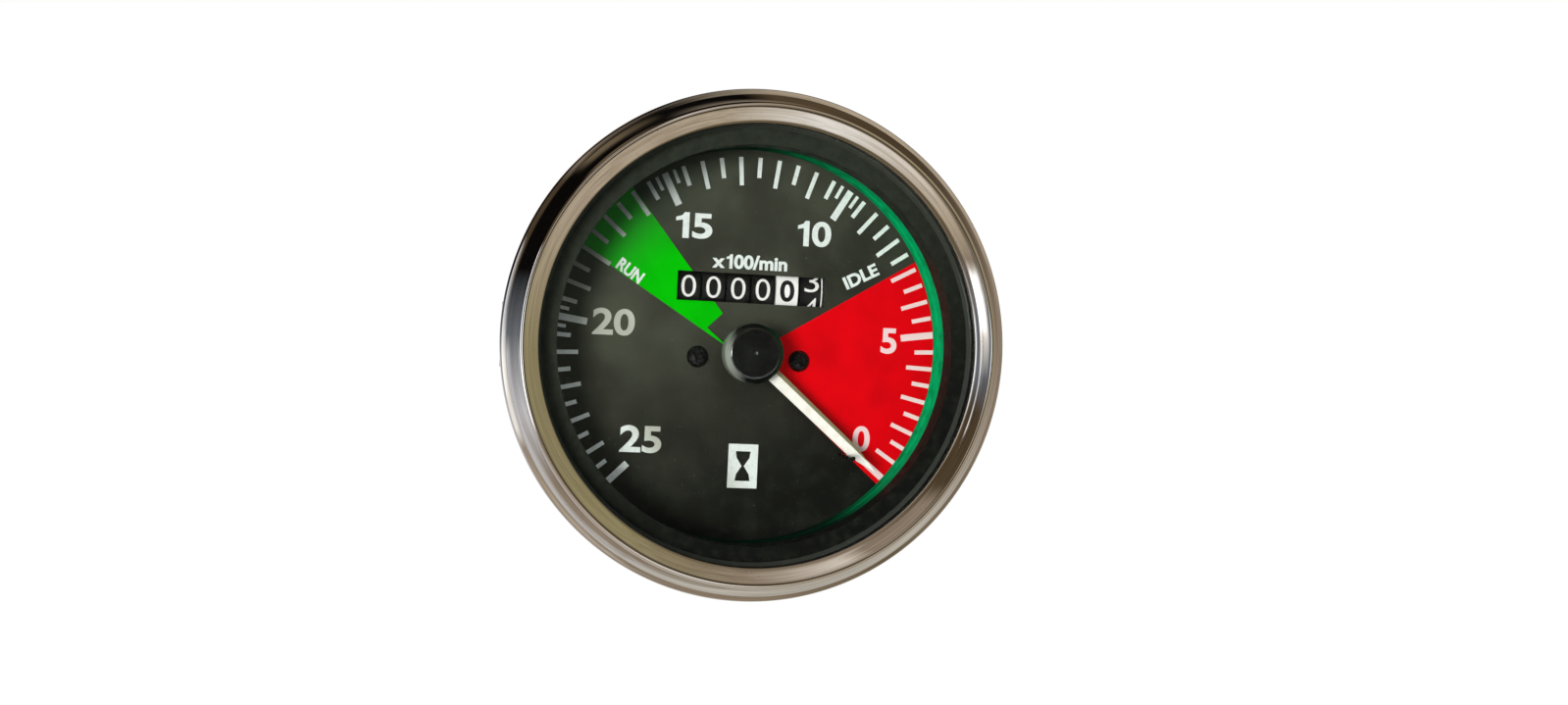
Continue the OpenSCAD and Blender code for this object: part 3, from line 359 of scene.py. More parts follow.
@dataclass(frozen=True)
class Chrome(Finish):
    """Bright plating on a rolled ring, with fine lines that follow the rolling and some dull haze."""

    def shade(self, surface: Surface) -> None:
        """Builds the shader.

        Args:
            surface: The surface that gets it.
        """
        lines = surface.rings(5200.0, 14.0)
        broad = surface.rings(1500.0, 9.0)
        haze = self.clouds(surface)
        tint = surface.mix(surface.band(broad, 0.35, 0.7), self.colour, self.second)
        pits = surface.band(surface.noise(surface.place, 2600.0, 2.0), 0.68, 0.76)
        surface.set(
            Base_Color=surface.mix(surface.times(pits, self.share), tint, srgb(72, 66, 60)),
            Roughness=self.gloss(surface, surface.math("ADD", haze, lines), 0.4, 1.5),
            Metallic=1.0,
        )
        surface.bump(lines, self.relief)


@dataclass(frozen=True)
class LightGuide(Finish):
    """Green translucent plastic, with specks along its front edge.

    Attributes:
        shaded: Colour where no light reaches it.
        edge: Depth of the specks behind the visor's skirt, in millimetres.
    """

    shaded: Colour = srgb(3, 34, 22)
    edge: float = 1.4

    def shade(self, surface: Surface) -> None:
        """Builds the shader.

        Args:
            surface: The surface that gets it.
        """
        deep = surface.parts(surface.place)[1]
        front = surface.band(deep, -SKIRT_LEVEL * MM, (self.edge - SKIRT_LEVEL) * MM, 1.0, 0.0)
        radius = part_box("light_ring")[1].x
        # Painted light and shade: the ring lighter towards 3 o'clock and darker elsewhere.
        bright = surface.band(surface.dot(surface.place, Vector((0.97, 0.0, 0.24)) / radius), 0.15, 0.85)
        specks = surface.band(surface.noise(surface.place, 800.0, 2.0), 0.63, 0.7)
        base = surface.mix(bright, self.shaded, self.tint(surface))
        surface.set(
            Base_Color=surface.mix(surface.times(specks, front), base, srgb(120, 225, 170)),
            Roughness=self.roughness,
            Specular_IOR_Level=self.shine,
            IOR=1.08,
            Subsurface_Weight=0.3,
            Subsurface_Radius=Vector((0.3, 2.0, 0.8)),
            Subsurface_Scale=0.6 * MM,
        )
        surface.bump(surface.noise(surface.place, 260.0, 2.0), 0.12, 0.6)


@dataclass(frozen=True)
class Rubbed(Finish):
    """Surface whose slanting edges carry painted light or painted shade, as each finish sets, with a film of
    dust and painted light towards the upper left.

    Attributes:
        rubbed: Colour painted on the slanting edges, as light or shade.
        dusty: Colour of the dust and painted light.
        film: Strength of the dust and painted light, from 0 to 1.
        index: Refractive index of the coat.
        lean: How flat an edge may lie and still be painted, and where the paint is full.
        steep: How steep an edge may be and still be painted in full, and where the paint ends.
        worn: The side that carries the painted light or shade, or none for all round.
    """

    rubbed: Colour = srgb(92, 95, 88)
    dusty: Colour = srgb(60, 66, 56)
    film: float = 0.0
    index: float = 1.45
    lean: Pair = (-0.93, -0.8)
    steep: Pair = (-0.4, -0.15)
    worn: tuple[float, float, float] | None = None

    def shade(self, surface: Surface) -> None:
        """Builds the shader.

        Args:
            surface: The surface that gets it.
        """
        super().shade(surface)
        base = surface.shader.inputs["Base Color"].links[0].from_socket
        normal = surface.add("TexCoord").outputs["Normal"]
        facing = surface.parts(normal)[1]
        # Painted light or shade on the slanting edges, on one side only where a side is set.
        slant = surface.times(surface.band(facing, *self.lean), surface.band(facing, *self.steep, 1.0, 0.0))
        if self.worn:
            slant = surface.times(slant, surface.band(surface.dot(normal, Vector(self.worn)), 0.3, 0.75))
        # Dust and painted light, stronger towards the upper left.
        film = surface.times(surface.dust(), surface.noise(surface.place, 420.0, 5.0, 0.7))
        base = surface.mix(slant, base, self.rubbed)
        surface.set(Base_Color=surface.mix(surface.times(film, self.film), base, self.dusty), IOR=self.index)


@dataclass(frozen=True)
class Glazing(Finish):
    """Clear glass that lets the light through to the dial, with a few faint smears."""

    def shade(self, surface: Surface) -> None:
        """Builds the shader.

        Args:
            surface: The surface that gets it.
        """
        surface.set(
            Base_Color=self.colour,
            Roughness=surface.band(self.clouds(surface), 0.2, 1.0, 0.0, self.roughness),
            Transmission_Weight=1.0,
            IOR=1.45,
        )
        lit, clear = surface.rays("Shadow", "Diffuse"), surface.out("BsdfTransparent")
        surface.wire(surface.output, Surface=surface.out("MixShader", lit, surface.shader.outputs[0], clear))


@dataclass(frozen=True)
class RedField:
    """The red sector's corner below the pointer's axis and the directions of its two edges."""

    corner: Pair = (0.0, -2.6)
    start: float = 58.7
    end: float = 131.0

    def inside(self, surface: Surface) -> Socket:
        """Tells where a surface lies over the red sector.

        Args:
            surface: The material that asks.

        Returns:
            1 over the sector, else 0.
        """
        sides = []
        for angle, sense in ((self.start, 1.0), (self.end, -1.0)):
            across, along = clock(angle, sense)
            edge = Vector((along, 0.0, -across))
            reach = edge.dot(spot(*self.corner, 0.0))
            sides.append(surface.math("GREATER_THAN", surface.dot(surface.place, edge), reach))
        return surface.times(*sides)


@dataclass(frozen=True)
class Ink(Finish):
    """White printing ink, with painted shade that greys it at the lower left, which lets the red through
    where it lies on red.
    """

    over_red: Colour = srgb(248, 214, 217)
    dulled: Colour = srgb(178, 181, 168)

    def shade(self, surface: Surface) -> None:
        """Builds the shader."""
        surface.set(Base_Color=self.tone(surface), Roughness=self.roughness, Specular_IOR_Level=self.shine)
        surface.bump(surface.noise(surface.place, 9000.0, 2.0), self.relief)

    def tone(self, surface: Surface) -> Socket:
        """Colours the ink.

        Args:
            surface: The surface that bears it.

        Returns:
            The ink's colour at each place.
        """
        # Painted shade: the figures turn greyer towards the lower left.
        left = surface.dot(surface.place, Vector((-0.86, 0.0, -0.5)))
        inner, outer = surface.band(left, 0.012, 0.022, 0.0, 0.95), surface.band(left, 0.027, 0.033, 1.0, 0.0)
        plain = surface.mix(surface.times(inner, outer), self.tint(surface), self.dulled)
        return surface.mix(RedField().inside(surface), plain, self.over_red)


@dataclass(frozen=True)
class DialPrint(Finish):
    """Black enamel with red and green fields and white marks, told apart by how far each stands out.

    Attributes:
        red: Colour of the field on the right.
        green: Colour of the field on the left.
        dusty: Colour of the dust and painted light towards the upper left.
        faded: Colour of the painted shade near the rim at the upper left.
        layer: Thickness of one layer of print in millimetres.
    """

    red: Colour = srgb(230, 0, 14)
    green: Colour = srgb(0, 196, 0)
    dusty: Colour = srgb(78, 80, 68)
    faded: Colour = srgb(46, 56, 46)
    layer: float = 0.03

    def shade(self, surface: Surface) -> None:
        """Builds the shader.

        Args:
            surface: The surface that gets it.
        """
        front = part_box("dial_plate")[0].y
        x, y, _ = surface.parts(surface.place)
        white = surface.math("LESS_THAN", y, front + self.layer * MM / 2)
        tinted = surface.math("LESS_THAN", y, front + self.layer * MM * 1.5)
        fine = surface.noise(surface.place, 1 / (self.grain * MM), 2.0)
        patches = surface.band(surface.noise(surface.place, 55.0), 0.3, 0.7, 0.45, 1.0)
        # Dust and painted light: the enamel lighter towards the upper left.
        enamel = surface.mix(surface.times(surface.dust(), patches), self.tint(surface), self.dusty)
        dust = surface.band(surface.noise(surface.place, 1900.0, 2.0), 0.72, 0.77, 0.0, 0.35)
        enamel = surface.mix(dust, enamel, srgb(120, 124, 112))
        field = surface.mix(surface.math("GREATER_THAN", x, 0.0), self.green, self.red)
        depth = surface.band(surface.noise(surface.place, 120.0, 4.0), 0.3, 0.8, 1.0, 0.8)
        field = surface.mix(1.0, field, surface.whole(depth, depth, depth), "MULTIPLY")
        base = surface.mix(white, surface.mix(tinted, enamel, field), WHITE_INK.tone(surface))
        # Painted shade near the rim at the upper left, where the bezel's shadow falls.
        faded = surface.band(surface.dot(surface.place, Vector((-0.72, 0.0, 0.69))), 0.024, 0.042, 0.0, 0.7)
        surface.set(
            Base_Color=surface.mix(faded, base, self.faded),
            Roughness=self.gloss(surface, fine, 0.2, 0.8),
            Specular_IOR_Level=self.shine,
        )
        surface.bump(fine, self.relief)


WHITE_INK = Ink(
    "white_ink", "dial_enamel", srgb(233, 242, 238), srgb(200, 207, 201),
    cloud=1.2, roughness=0.42, relief=0.004, shine=0.2,
)
DIAL_PRINT = DialPrint(
    "dial_print", "dial_enamel", srgb(18, 19, 16), srgb(34, 36, 30),
    share=0.8, cloud=6.0, roughness=0.5, spread=0.08, grain=0.12, relief=0.006, shine=0.06,
)
CHROME = Chrome(
    "chrome_plate", "chrome_trim", srgb(246, 245, 243), srgb(226, 222, 216),
    cloud=7.0, roughness=0.06, spread=0.03, relief=0.003,
)
GLASS = Glazing("pane_glass", "clear_glass", (0.97, 0.99, 0.98), cloud=18.0, roughness=0.004)
RUBBER = Finish(
    "seal_rubber", "black_rubber", srgb(13, 13, 13), srgb(30, 30, 29),
    roughness=0.62, grain=0.2, relief=0.02, shine=0.3,
)
# Painted light on the visor's slanting step, and dust with painted light towards the upper left.
VISOR = Rubbed(
    "visor_coat", "visor_paint", srgb(16, 17, 15), srgb(38, 40, 35),
    share=0.6, cloud=2.2, roughness=0.55, grain=0.12, relief=0.012, shine=0.2,
    rubbed=srgb(80, 83, 78), film=1.0, index=1.15, lean=(-0.7, -0.5),
)
GREEN_PLASTIC = LightGuide(
    "light_guide_plastic", "green_light_guide", srgb(0, 190, 112), srgb(0, 120, 66),
    share=0.7, cloud=3.2, roughness=0.4, shine=0.03,
)
CASE_ENAMEL = Finish(
    "case_coat", "case_enamel", srgb(58, 61, 64), srgb(84, 86, 86),
    cloud=9.0, roughness=0.38, grain=0.35, relief=0.012,
)
BLACK_STEEL = Finish(
    "screw_black", "blackened_steel", srgb(22, 22, 23), srgb(74, 74, 74),
    share=0.45, cloud=1.0, roughness=0.32, spread=0.1, grain=0.08, relief=0.006, metallic=0.6,
)
BRASS = Finish(
    "brass_turned", "turned_brass", srgb(206, 172, 96), srgb(150, 118, 62),
    share=0.55, cloud=2.5, roughness=0.3, spread=0.1, grain=0.06, relief=0.004, metallic=1.0,
)
BRIGHT_STEEL = Finish(
    "steel_ground", "bright_steel", srgb(196, 198, 200), srgb(140, 138, 134),
    cloud=3.0, roughness=0.28, spread=0.1, grain=0.07, relief=0.004, metallic=1.0,
)
ZINC_STEEL = Finish(
    "zinc_steel", "bright_steel", srgb(184, 186, 184), srgb(134, 136, 132),
    share=0.6, cloud=5.0, roughness=0.36, spread=0.1, grain=0.3, relief=0.008, metallic=1.0,
)
# Painted shade on the pointer's flank that faces away from the light.
POINTER_ENAMEL = Rubbed(
    "pointer_coat", "pointer_enamel", srgb(252, 251, 242), srgb(226, 220, 198),
    share=0.45, cloud=1.8, roughness=0.4, grain=0.1, relief=0.006, shine=0.4,
    rubbed=srgb(158, 149, 115), lean=(-0.97, -0.9), worn=(1.3, 0.0, 1.2),
)
# Painted highlight on the cap's flank that faces the light.
CAP_PLASTIC = Rubbed(
    "cap_moulding", "cap_plastic", srgb(12, 13, 12), srgb(22, 24, 22),
    share=0.6, cloud=2.4, roughness=0.19, spread=0.03, grain=0.14, relief=0.005, shine=1.0,
    rubbed=srgb(142, 148, 138), steep=(-0.1, 0.2), worn=(-0.97, 0.0, -0.24),
)
ALUMINIUM = Finish(
    "aluminium_spun", "bright_aluminium", srgb(206, 208, 210), srgb(166, 168, 170),
    cloud=3.0, roughness=0.34, grain=0.1, relief=0.004, metallic=1.0,
)
SPRING_BRONZE = Finish(
    "hairspring_bronze", "spring_bronze", srgb(168, 128, 84), srgb(112, 84, 56),
    cloud=1.0, roughness=0.3, grain=0.05, relief=0.002, metallic=1.0,
)
CASTING = Finish(
    "die_casting", "light_casting", srgb(172, 174, 174), srgb(128, 130, 128),
    share=0.6, roughness=0.48, grain=0.4, relief=0.03, metallic=0.85,
)
SOFT_IRON = Finish(
    "iron_annealed", "soft_iron", srgb(112, 114, 116), srgb(84, 78, 72),
    share=0.6, cloud=3.0, roughness=0.44, grain=0.12, metallic=0.9,
)
MAGNET_ALLOY = Finish(
    "magnet_sintered", "magnet_alloy", srgb(76, 77, 80), srgb(52, 50, 48),
    share=0.6, cloud=1.5, roughness=0.5, grain=0.25, relief=0.02, metallic=0.7,
)
DRUM_BLACK = Finish(
    "drum_moulding_black", "drum_black", srgb(12, 12, 12), srgb(24, 24, 23),
    share=0.6, cloud=1.6, grain=0.1, relief=0.005, shine=0.35,
)
DRUM_WHITE = Finish(
    "drum_moulding_white", "drum_white", srgb(252, 252, 249), srgb(238, 236, 228),
    share=0.4, cloud=2.0, grain=0.1, relief=0.005, shine=0.35,
)
PINION_PLASTIC = Finish(
    "pinion_moulding", "pinion_plastic", srgb(220, 214, 196), srgb(190, 182, 160),
    cloud=1.0, grain=0.1, relief=0.005,
)
BULB_GLASS = Glazing("lamp_glass", "bulb_glass", (0.99, 0.98, 0.94), roughness=0.06)
CARRIER_STEEL = Finish(
    "carrier_steel", "bright_steel", srgb(44, 45, 46), srgb(26, 26, 27),
    share=0.6, cloud=1.0, roughness=0.55, grain=0.1, relief=0.004, metallic=0.8,
)
FIGURE_WHITE = Finish(
    "figure_white", "drum_white", srgb(246, 247, 243), srgb(216, 218, 212),
    cloud=0.8, roughness=0.5, grain=0.08, relief=0.003, shine=0.3,
)
FIGURE_BLACK = Finish(
    "figure_black", "drum_black", srgb(16, 16, 18), srgb(30, 30, 32),
    cloud=0.8, roughness=0.5, grain=0.08, relief=0.003, shine=0.3,
)


def dress(finish: Finish, *nodes: str) -> None:
    """Gives CAD nodes a finish.

    Args:
        finish: The finish.
        nodes: The nodes' names.
    """
    material = finish.material()
    for name in nodes:
        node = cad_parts[name]
        if not node.material_slots:
            node.data.materials.append(material)
        for place in node.material_slots:
            place.material = material
        log.info("%s: CAD node with %s", name, finish.name)


def place_in_scene(name: str, data: bpy.types.ID) -> bpy.types.Object:
    """Links a new object to the scene.

    Args:
        name: Its name.
        data: Its mesh, curve, camera or light.

    Returns:
        The object.
    """
    holder = bpy.data.objects.new(name, data)
    bpy.context.scene.collection.objects.link(holder)
    return holder


def as_mesh(name: str, shape: Shape) -> bpy.types.Mesh:
    """Turns a shape into a mesh.

    Args:
        name: The mesh's name.
        shape: The shape; it is freed.

    Returns:
        The mesh.
    """
    mesh = bpy.data.meshes.new(name)
    shape.to_mesh(mesh)
    shape.free()
    return mesh


def settle(name: str, shape: Shape, finish: Finish, body: str, *nodes: str) -> bpy.types.Object:
    """Makes a piece of a shape that is already in its place.

    Args:
        name: The piece's name.
        shape: The mesh, in metres in the frame; it is freed.
        finish: The piece's finish.
        body: The CAD body that it rides on.
        nodes: CAD nodes that it stands for.

    Returns:
        The piece.
    """
    mesh = as_mesh(name, shape)
    for face in mesh.polygons:
        face.use_smooth = True
    mesh.set_sharp_from_angle(angle=SHARP_EDGE)
    mesh.materials.append(finish.material())
    piece = place_in_scene(name, mesh)
    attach(piece, body)
    if nodes:
        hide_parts(*nodes)
    log.info("%s: %d faces with %s", name, len(mesh.polygons), finish.name)
    return piece


def spun(points: list[Vector], steps: int, centre: Vector, axis: Vector, closed: bool = True) -> Shape:
    """Spins an outline through a full turn.

    Args:
        points: The outline's points, in metres.
        steps: Steps of the full turn.
        centre: A point of the axis.
        axis: The axis's direction.
        closed: Whether the last point joins the first.

    Returns:
        The shape.
    """
    shape = bmesh.new()
    corners = [shape.verts.new(point) for point in points]
    ends = corners[1:] + corners[:1] if closed else corners[1:]
    edges = [shape.edges.new(pair) for pair in zip(corners, ends)]
    bmesh.ops.spin(
        shape, geom=corners + edges, cent=centre, axis=axis, dvec=(0, 0, 0),
        angle=math.tau, steps=steps, use_merge=True, use_duplicate=False,
    )
    bmesh.ops.recalc_face_normals(shape, faces=shape.faces)
    return shape


def revolve(outline: Path, steps: int, closed: bool = True) -> Shape:
    """Spins an outline of radii and levels in millimetres round the case's axis."""
    points = [spot(radius, 0.0, level) for radius, level in outline]
    return spun(points, steps, Vector(), Vector((0, 1, 0)), closed)


def everything(shape: Shape) -> list:
    """Returns a shape's corners, edges and faces in one list."""
    return [*shape.verts, *shape.edges, *shape.faces]


def merged_copy(node: str) -> Shape:
    """Copies a CAD node's mesh into a shape with joined corners and whole flat faces.

    Args:
        node: The node's name.

    Returns:
        The shape.
    """
    shape = bmesh.new()
    shape.from_mesh(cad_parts[node].data)
    bmesh.ops.remove_doubles(shape, verts=shape.verts, dist=MERGE_GAP)
    bmesh.ops.dissolve_limit(
        shape, angle_limit=FLAT_EDGE, use_dissolve_boundaries=False,
        verts=shape.verts, edges=shape.edges, delimit=set(),
    )
    return shape


def soften(node: str, shape: Shape, finish: Finish, width: float, body: str) -> None:
    """Puts a shape with rounded edges in the place of a CAD node.

    Args:
        node: The node's name.
        shape: The shape, in its place; it is freed.
        finish: Its finish.
        width: Width of the rounding in millimetres.
        body: The CAD body that it rides on.
    """
    piece = settle(node + "_finished", shape, finish, body, node)
    rounding = piece.modifiers.new("edges", "BEVEL")
    rounding.width = width * MM
    rounding.segments = 2
    rounding.limit_method = "ANGLE"
    rounding.angle_limit = SHARP_EDGE
    rounding.harden_normals = True
    rounding.use_clamp_overlap = True


def softened(finish: Finish, width: float, body: str, *nodes: str) -> None:
    """Puts copies with edges rounded to a width in millimetres in the place of CAD nodes."""
    for node in nodes:
        soften(node, merged_copy(node), finish, width, body)


class Weight(Enum):
    """How heavy a lettering's strokes are, as a share of its size."""

    THIN = -0.006
    BOLD = 0.026
    HEAVY = 0.036


@dataclass(frozen=True)
class Lettering:
    """Plain figures or a plain word in print.

    Attributes:
        words: What it says.
        width: Width over all in millimetres.
        height: Height over all in millimetres.
        weight: Heaviness of the strokes.
    """

    words: str
    width: float
    height: float
    weight: Weight = Weight.BOLD

    def shape(self) -> Shape:
        """Draws the lettering flat, round the origin, in millimetres.

        Returns:
            The flat shape.
        """
        shape = bmesh.new()
        pen = 0.0
        for part in re.split("(1)", self.words):
            if part:
                flat = self.one() if part == "1" else self.text(part)
                low, high = extent(flat)
                pen += high.x - low.x + LETTER_GAP
                print_on(shape, flat, Matrix.Translation((pen - high.x, 0.0, 0.0)))
        low, high = extent(shape)
        size = high - low
        bmesh.ops.translate(shape, vec=-(low + high) / 2, verts=shape.verts)
        bmesh.ops.scale(shape, vec=(self.width / size.x, self.height / size.y, 1.0), verts=shape.verts)
        bmesh.ops.remove_doubles(shape, verts=shape.verts, dist=MERGE_GAP / MM)
        shape.normal_update()
        bmesh.ops.reverse_faces(shape, faces=[face for face in shape.faces if face.normal.z < 0])
        return shape

    def text(self, words: str) -> Shape:
        """Draws words in the plain built-in letters, one unit to the line.

        Args:
            words: The words.

        Returns:
            The flat shape.
        """
        curve = bpy.data.curves.new("lettering", "FONT")
        curve.body = words
        curve.offset = self.weight.value
        curve.resolution_u = 6
        holder = place_in_scene("lettering", curve)
        bpy.context.view_layer.update()
        mesh = bpy.data.meshes.new_from_object(holder)
        shape = bmesh.new()
        shape.from_mesh(mesh)
        bpy.data.objects.remove(holder)
        bpy.data.meshes.remove(mesh)
        bpy.data.curves.remove(curve)
        return shape

    def one(self) -> Shape:
        """Draws a 1 with a flag, as tall as the built-in figures.

        Returns:
            The flat shape.
        """
        figure = self.text("0")
        low, high = extent(figure)
        figure.free()
        tall = high.y - low.y
        stem = 0.13 + 2.2 * max(self.weight.value, 0.0)
        flag = 0.2 + stem
        corners = (
            (flag - stem, 0.0), (flag, 0.0), (flag, 1.0), (flag - stem * 0.75, 1.0),
            (flag - stem * 1.1, 0.88), (0.0, 0.8), (0.0, 0.79 - stem * 0.7), (flag - stem, 0.84 - stem * 0.7),
        )
        shape = bmesh.new()
        shape.faces.new([shape.verts.new((x * tall, low.y + y * tall, 0.0)) for x, y in corners])
        return shape


def extent(shape: Shape) -> tuple[Vector, Vector]:
    """Returns a shape's lowest and highest corner."""
    return tuple(Vector([pick(v.co[i] for v in shape.verts) for i in range(3)]) for pick in (min, max))


def print_on(target: Shape, shape: Shape, place: Matrix) -> None:
    """Adds a flat shape to a print.

    Args:
        target: The print.
        shape: The flat shape in millimetres; it is freed.
        place: Where it goes.
    """
    bmesh.ops.transform(shape, matrix=place, verts=shape.verts)
    mesh = as_mesh("print", shape)
    target.from_mesh(mesh)
    bpy.data.meshes.remove(mesh)


def thicken(shape: Shape, height: float) -> None:
    """Gives a flat print its thickness behind its face, in the print's own unit."""
    shape.normal_update()
    bmesh.ops.solidify(shape, geom=list(shape.faces), thickness=height)


@dataclass
class Studio:
    """Camera, sun, room and floor.

    Attributes:
        camera_place: Where the camera stands, in metres.
        turn: The camera's turn to the right, in radians.
        tilt: Its tilt upwards, in radians.
        roll: Its roll, in radians.
        focal_length: In photo pixels.
        photo_width: In photo pixels.
        sensor: The sensor's width in millimetres.
        sun_way: The way the sunlight travels.
        sun_power: The sun's strength.
        sun_spread: The sun's apparent size in degrees.
        fill: Light from all round on matt surfaces.
        floor_depth: How far the floor lies below the instrument's lowest point, in metres.
        floor_size: The floor's side in metres.
    """

    camera_place: Vector = Vector((-0.075252, -0.373976, -0.000544))
    turn: float = -0.214571
    tilt: float = -0.0017294
    roll: float = 0.0470538
    focal_length: float = 1800.0
    photo_width: float = 1599.0
    sensor: float = 36.0
    sun_way: Vector = Vector((0.5, 0.86, 0.0))
    sun_power: float = 2.75
    sun_spread: float = 20.0
    fill: float = 0.46
    floor_depth: float = 0.15
    floor_size: float = 1.4

    def build(self) -> None:
        """Sets up everything that isn't the object."""
        bpy.context.scene.view_settings.view_transform = "Standard"
        self.camera()
        self.sun()
        self.floor()
        self.room()
        log.info("studio: camera, sun, floor and room")

    def camera(self) -> None:
        """Stands the camera where the photograph was taken."""
        data = bpy.data.cameras.new("camera")
        data.sensor_fit = "HORIZONTAL"
        data.sensor_width = self.sensor
        data.lens = self.sensor * self.focal_length / self.photo_width
        data.clip_start = 0.01
        holder = place_in_scene("camera", data)
        upright = Matrix.Rotation(math.radians(90), 3, "X")
        look = Matrix.Rotation(self.turn, 3, "Z") @ Matrix.Rotation(self.tilt, 3, "X")
        aim = look @ Matrix.Rotation(-self.roll, 3, "Y") @ upright
        holder.matrix_world = Matrix.Translation(self.camera_place) @ aim.to_4x4()
        bpy.context.scene.camera = holder

    def sun(self) -> None:
        """Hangs a wide sun to the left of the camera; what gloss mirrors is the room alone."""
        data = bpy.data.lights.new("sun", "SUN")
        data.energy = self.sun_power
        data.angle = math.radians(self.sun_spread)
        data.color = (1.0, 0.985, 0.96)
        holder = place_in_scene("sun", data)
        holder.rotation_mode = "QUATERNION"
        holder.rotation_quaternion = self.sun_way.to_track_quat("-Z", "Y")
        holder.visible_glossy = False

    def floor(self) -> None:
        """Lays a pale floor with a soft shadow; the metal mirrors the room's own pale lower part instead."""
        shape = bmesh.new()
        bmesh.ops.create_grid(shape, x_segments=1, y_segments=1, size=self.floor_size / 2)
        low = cad_box[0].z - self.floor_depth
        bmesh.ops.translate(shape, vec=(0, 0, low), verts=shape.verts)
        surface = Surface("pale_floor")
        matt = surface.out("BsdfDiffuse", (0.3, 0.3, 0.3))
        bright = surface.out("AddShader", matt, surface.out("Emission", (0.9, 0.9, 0.9)))
        plain = surface.out("BsdfDiffuse", (0.6, 0.6, 0.6))
        surface.wire(surface.output, Surface=surface.out("MixShader", surface.rays(*SEEN), plain, bright))
        mesh = as_mesh("floor", shape)
        mesh.materials.append(surface.material)
        holder = place_in_scene("floor", mesh)
        holder.visible_shadow = False
        holder.visible_glossy = False

    def room(self) -> None:
        """Surrounds the object with a white backdrop, an even fill and a toned room for its gloss."""
        world = bpy.data.worlds.new("room")
        bpy.context.scene.world = world
        world.use_nodes = True
        shading = Shading(world.node_tree)
        shading.tree.nodes.clear()
        tones = RoomTones().colour(shading)
        way = shading.add("TexCoord").outputs["Generated"]
        back = shading.math("GREATER_THAN", shading.parts(way)[1], 0.0)
        straight = shading.times(shading.rays("Transmission"), back)
        white = shading.math("MAXIMUM", shading.rays("Camera"), straight)
        backdrop = shading.mix(white, tones, (1.0, 1.0, 1.0))
        shown = shading.mix(shading.rays(*SEEN), (self.fill,) * 3, backdrop)
        shading.wire(shading.add("OutputWorld"), Surface=shading.out("Background", shown))


PALE = srgb(238, 233, 226)
CREAM = srgb(214, 203, 190)
STONE = srgb(190, 184, 173)
BEIGE = srgb(178, 163, 142)
TAUPE = srgb(146, 130, 113)
KHAKI = srgb(108, 95, 74)
OLIVE = srgb(148, 138, 102)
UMBER = srgb(80, 66, 48)
SOOT = srgb(12, 10, 9)
HAZE = srgb(200, 199, 203)
SLATE = srgb(108, 112, 119)
LAMP = (1.3, 1.3, 1.32)


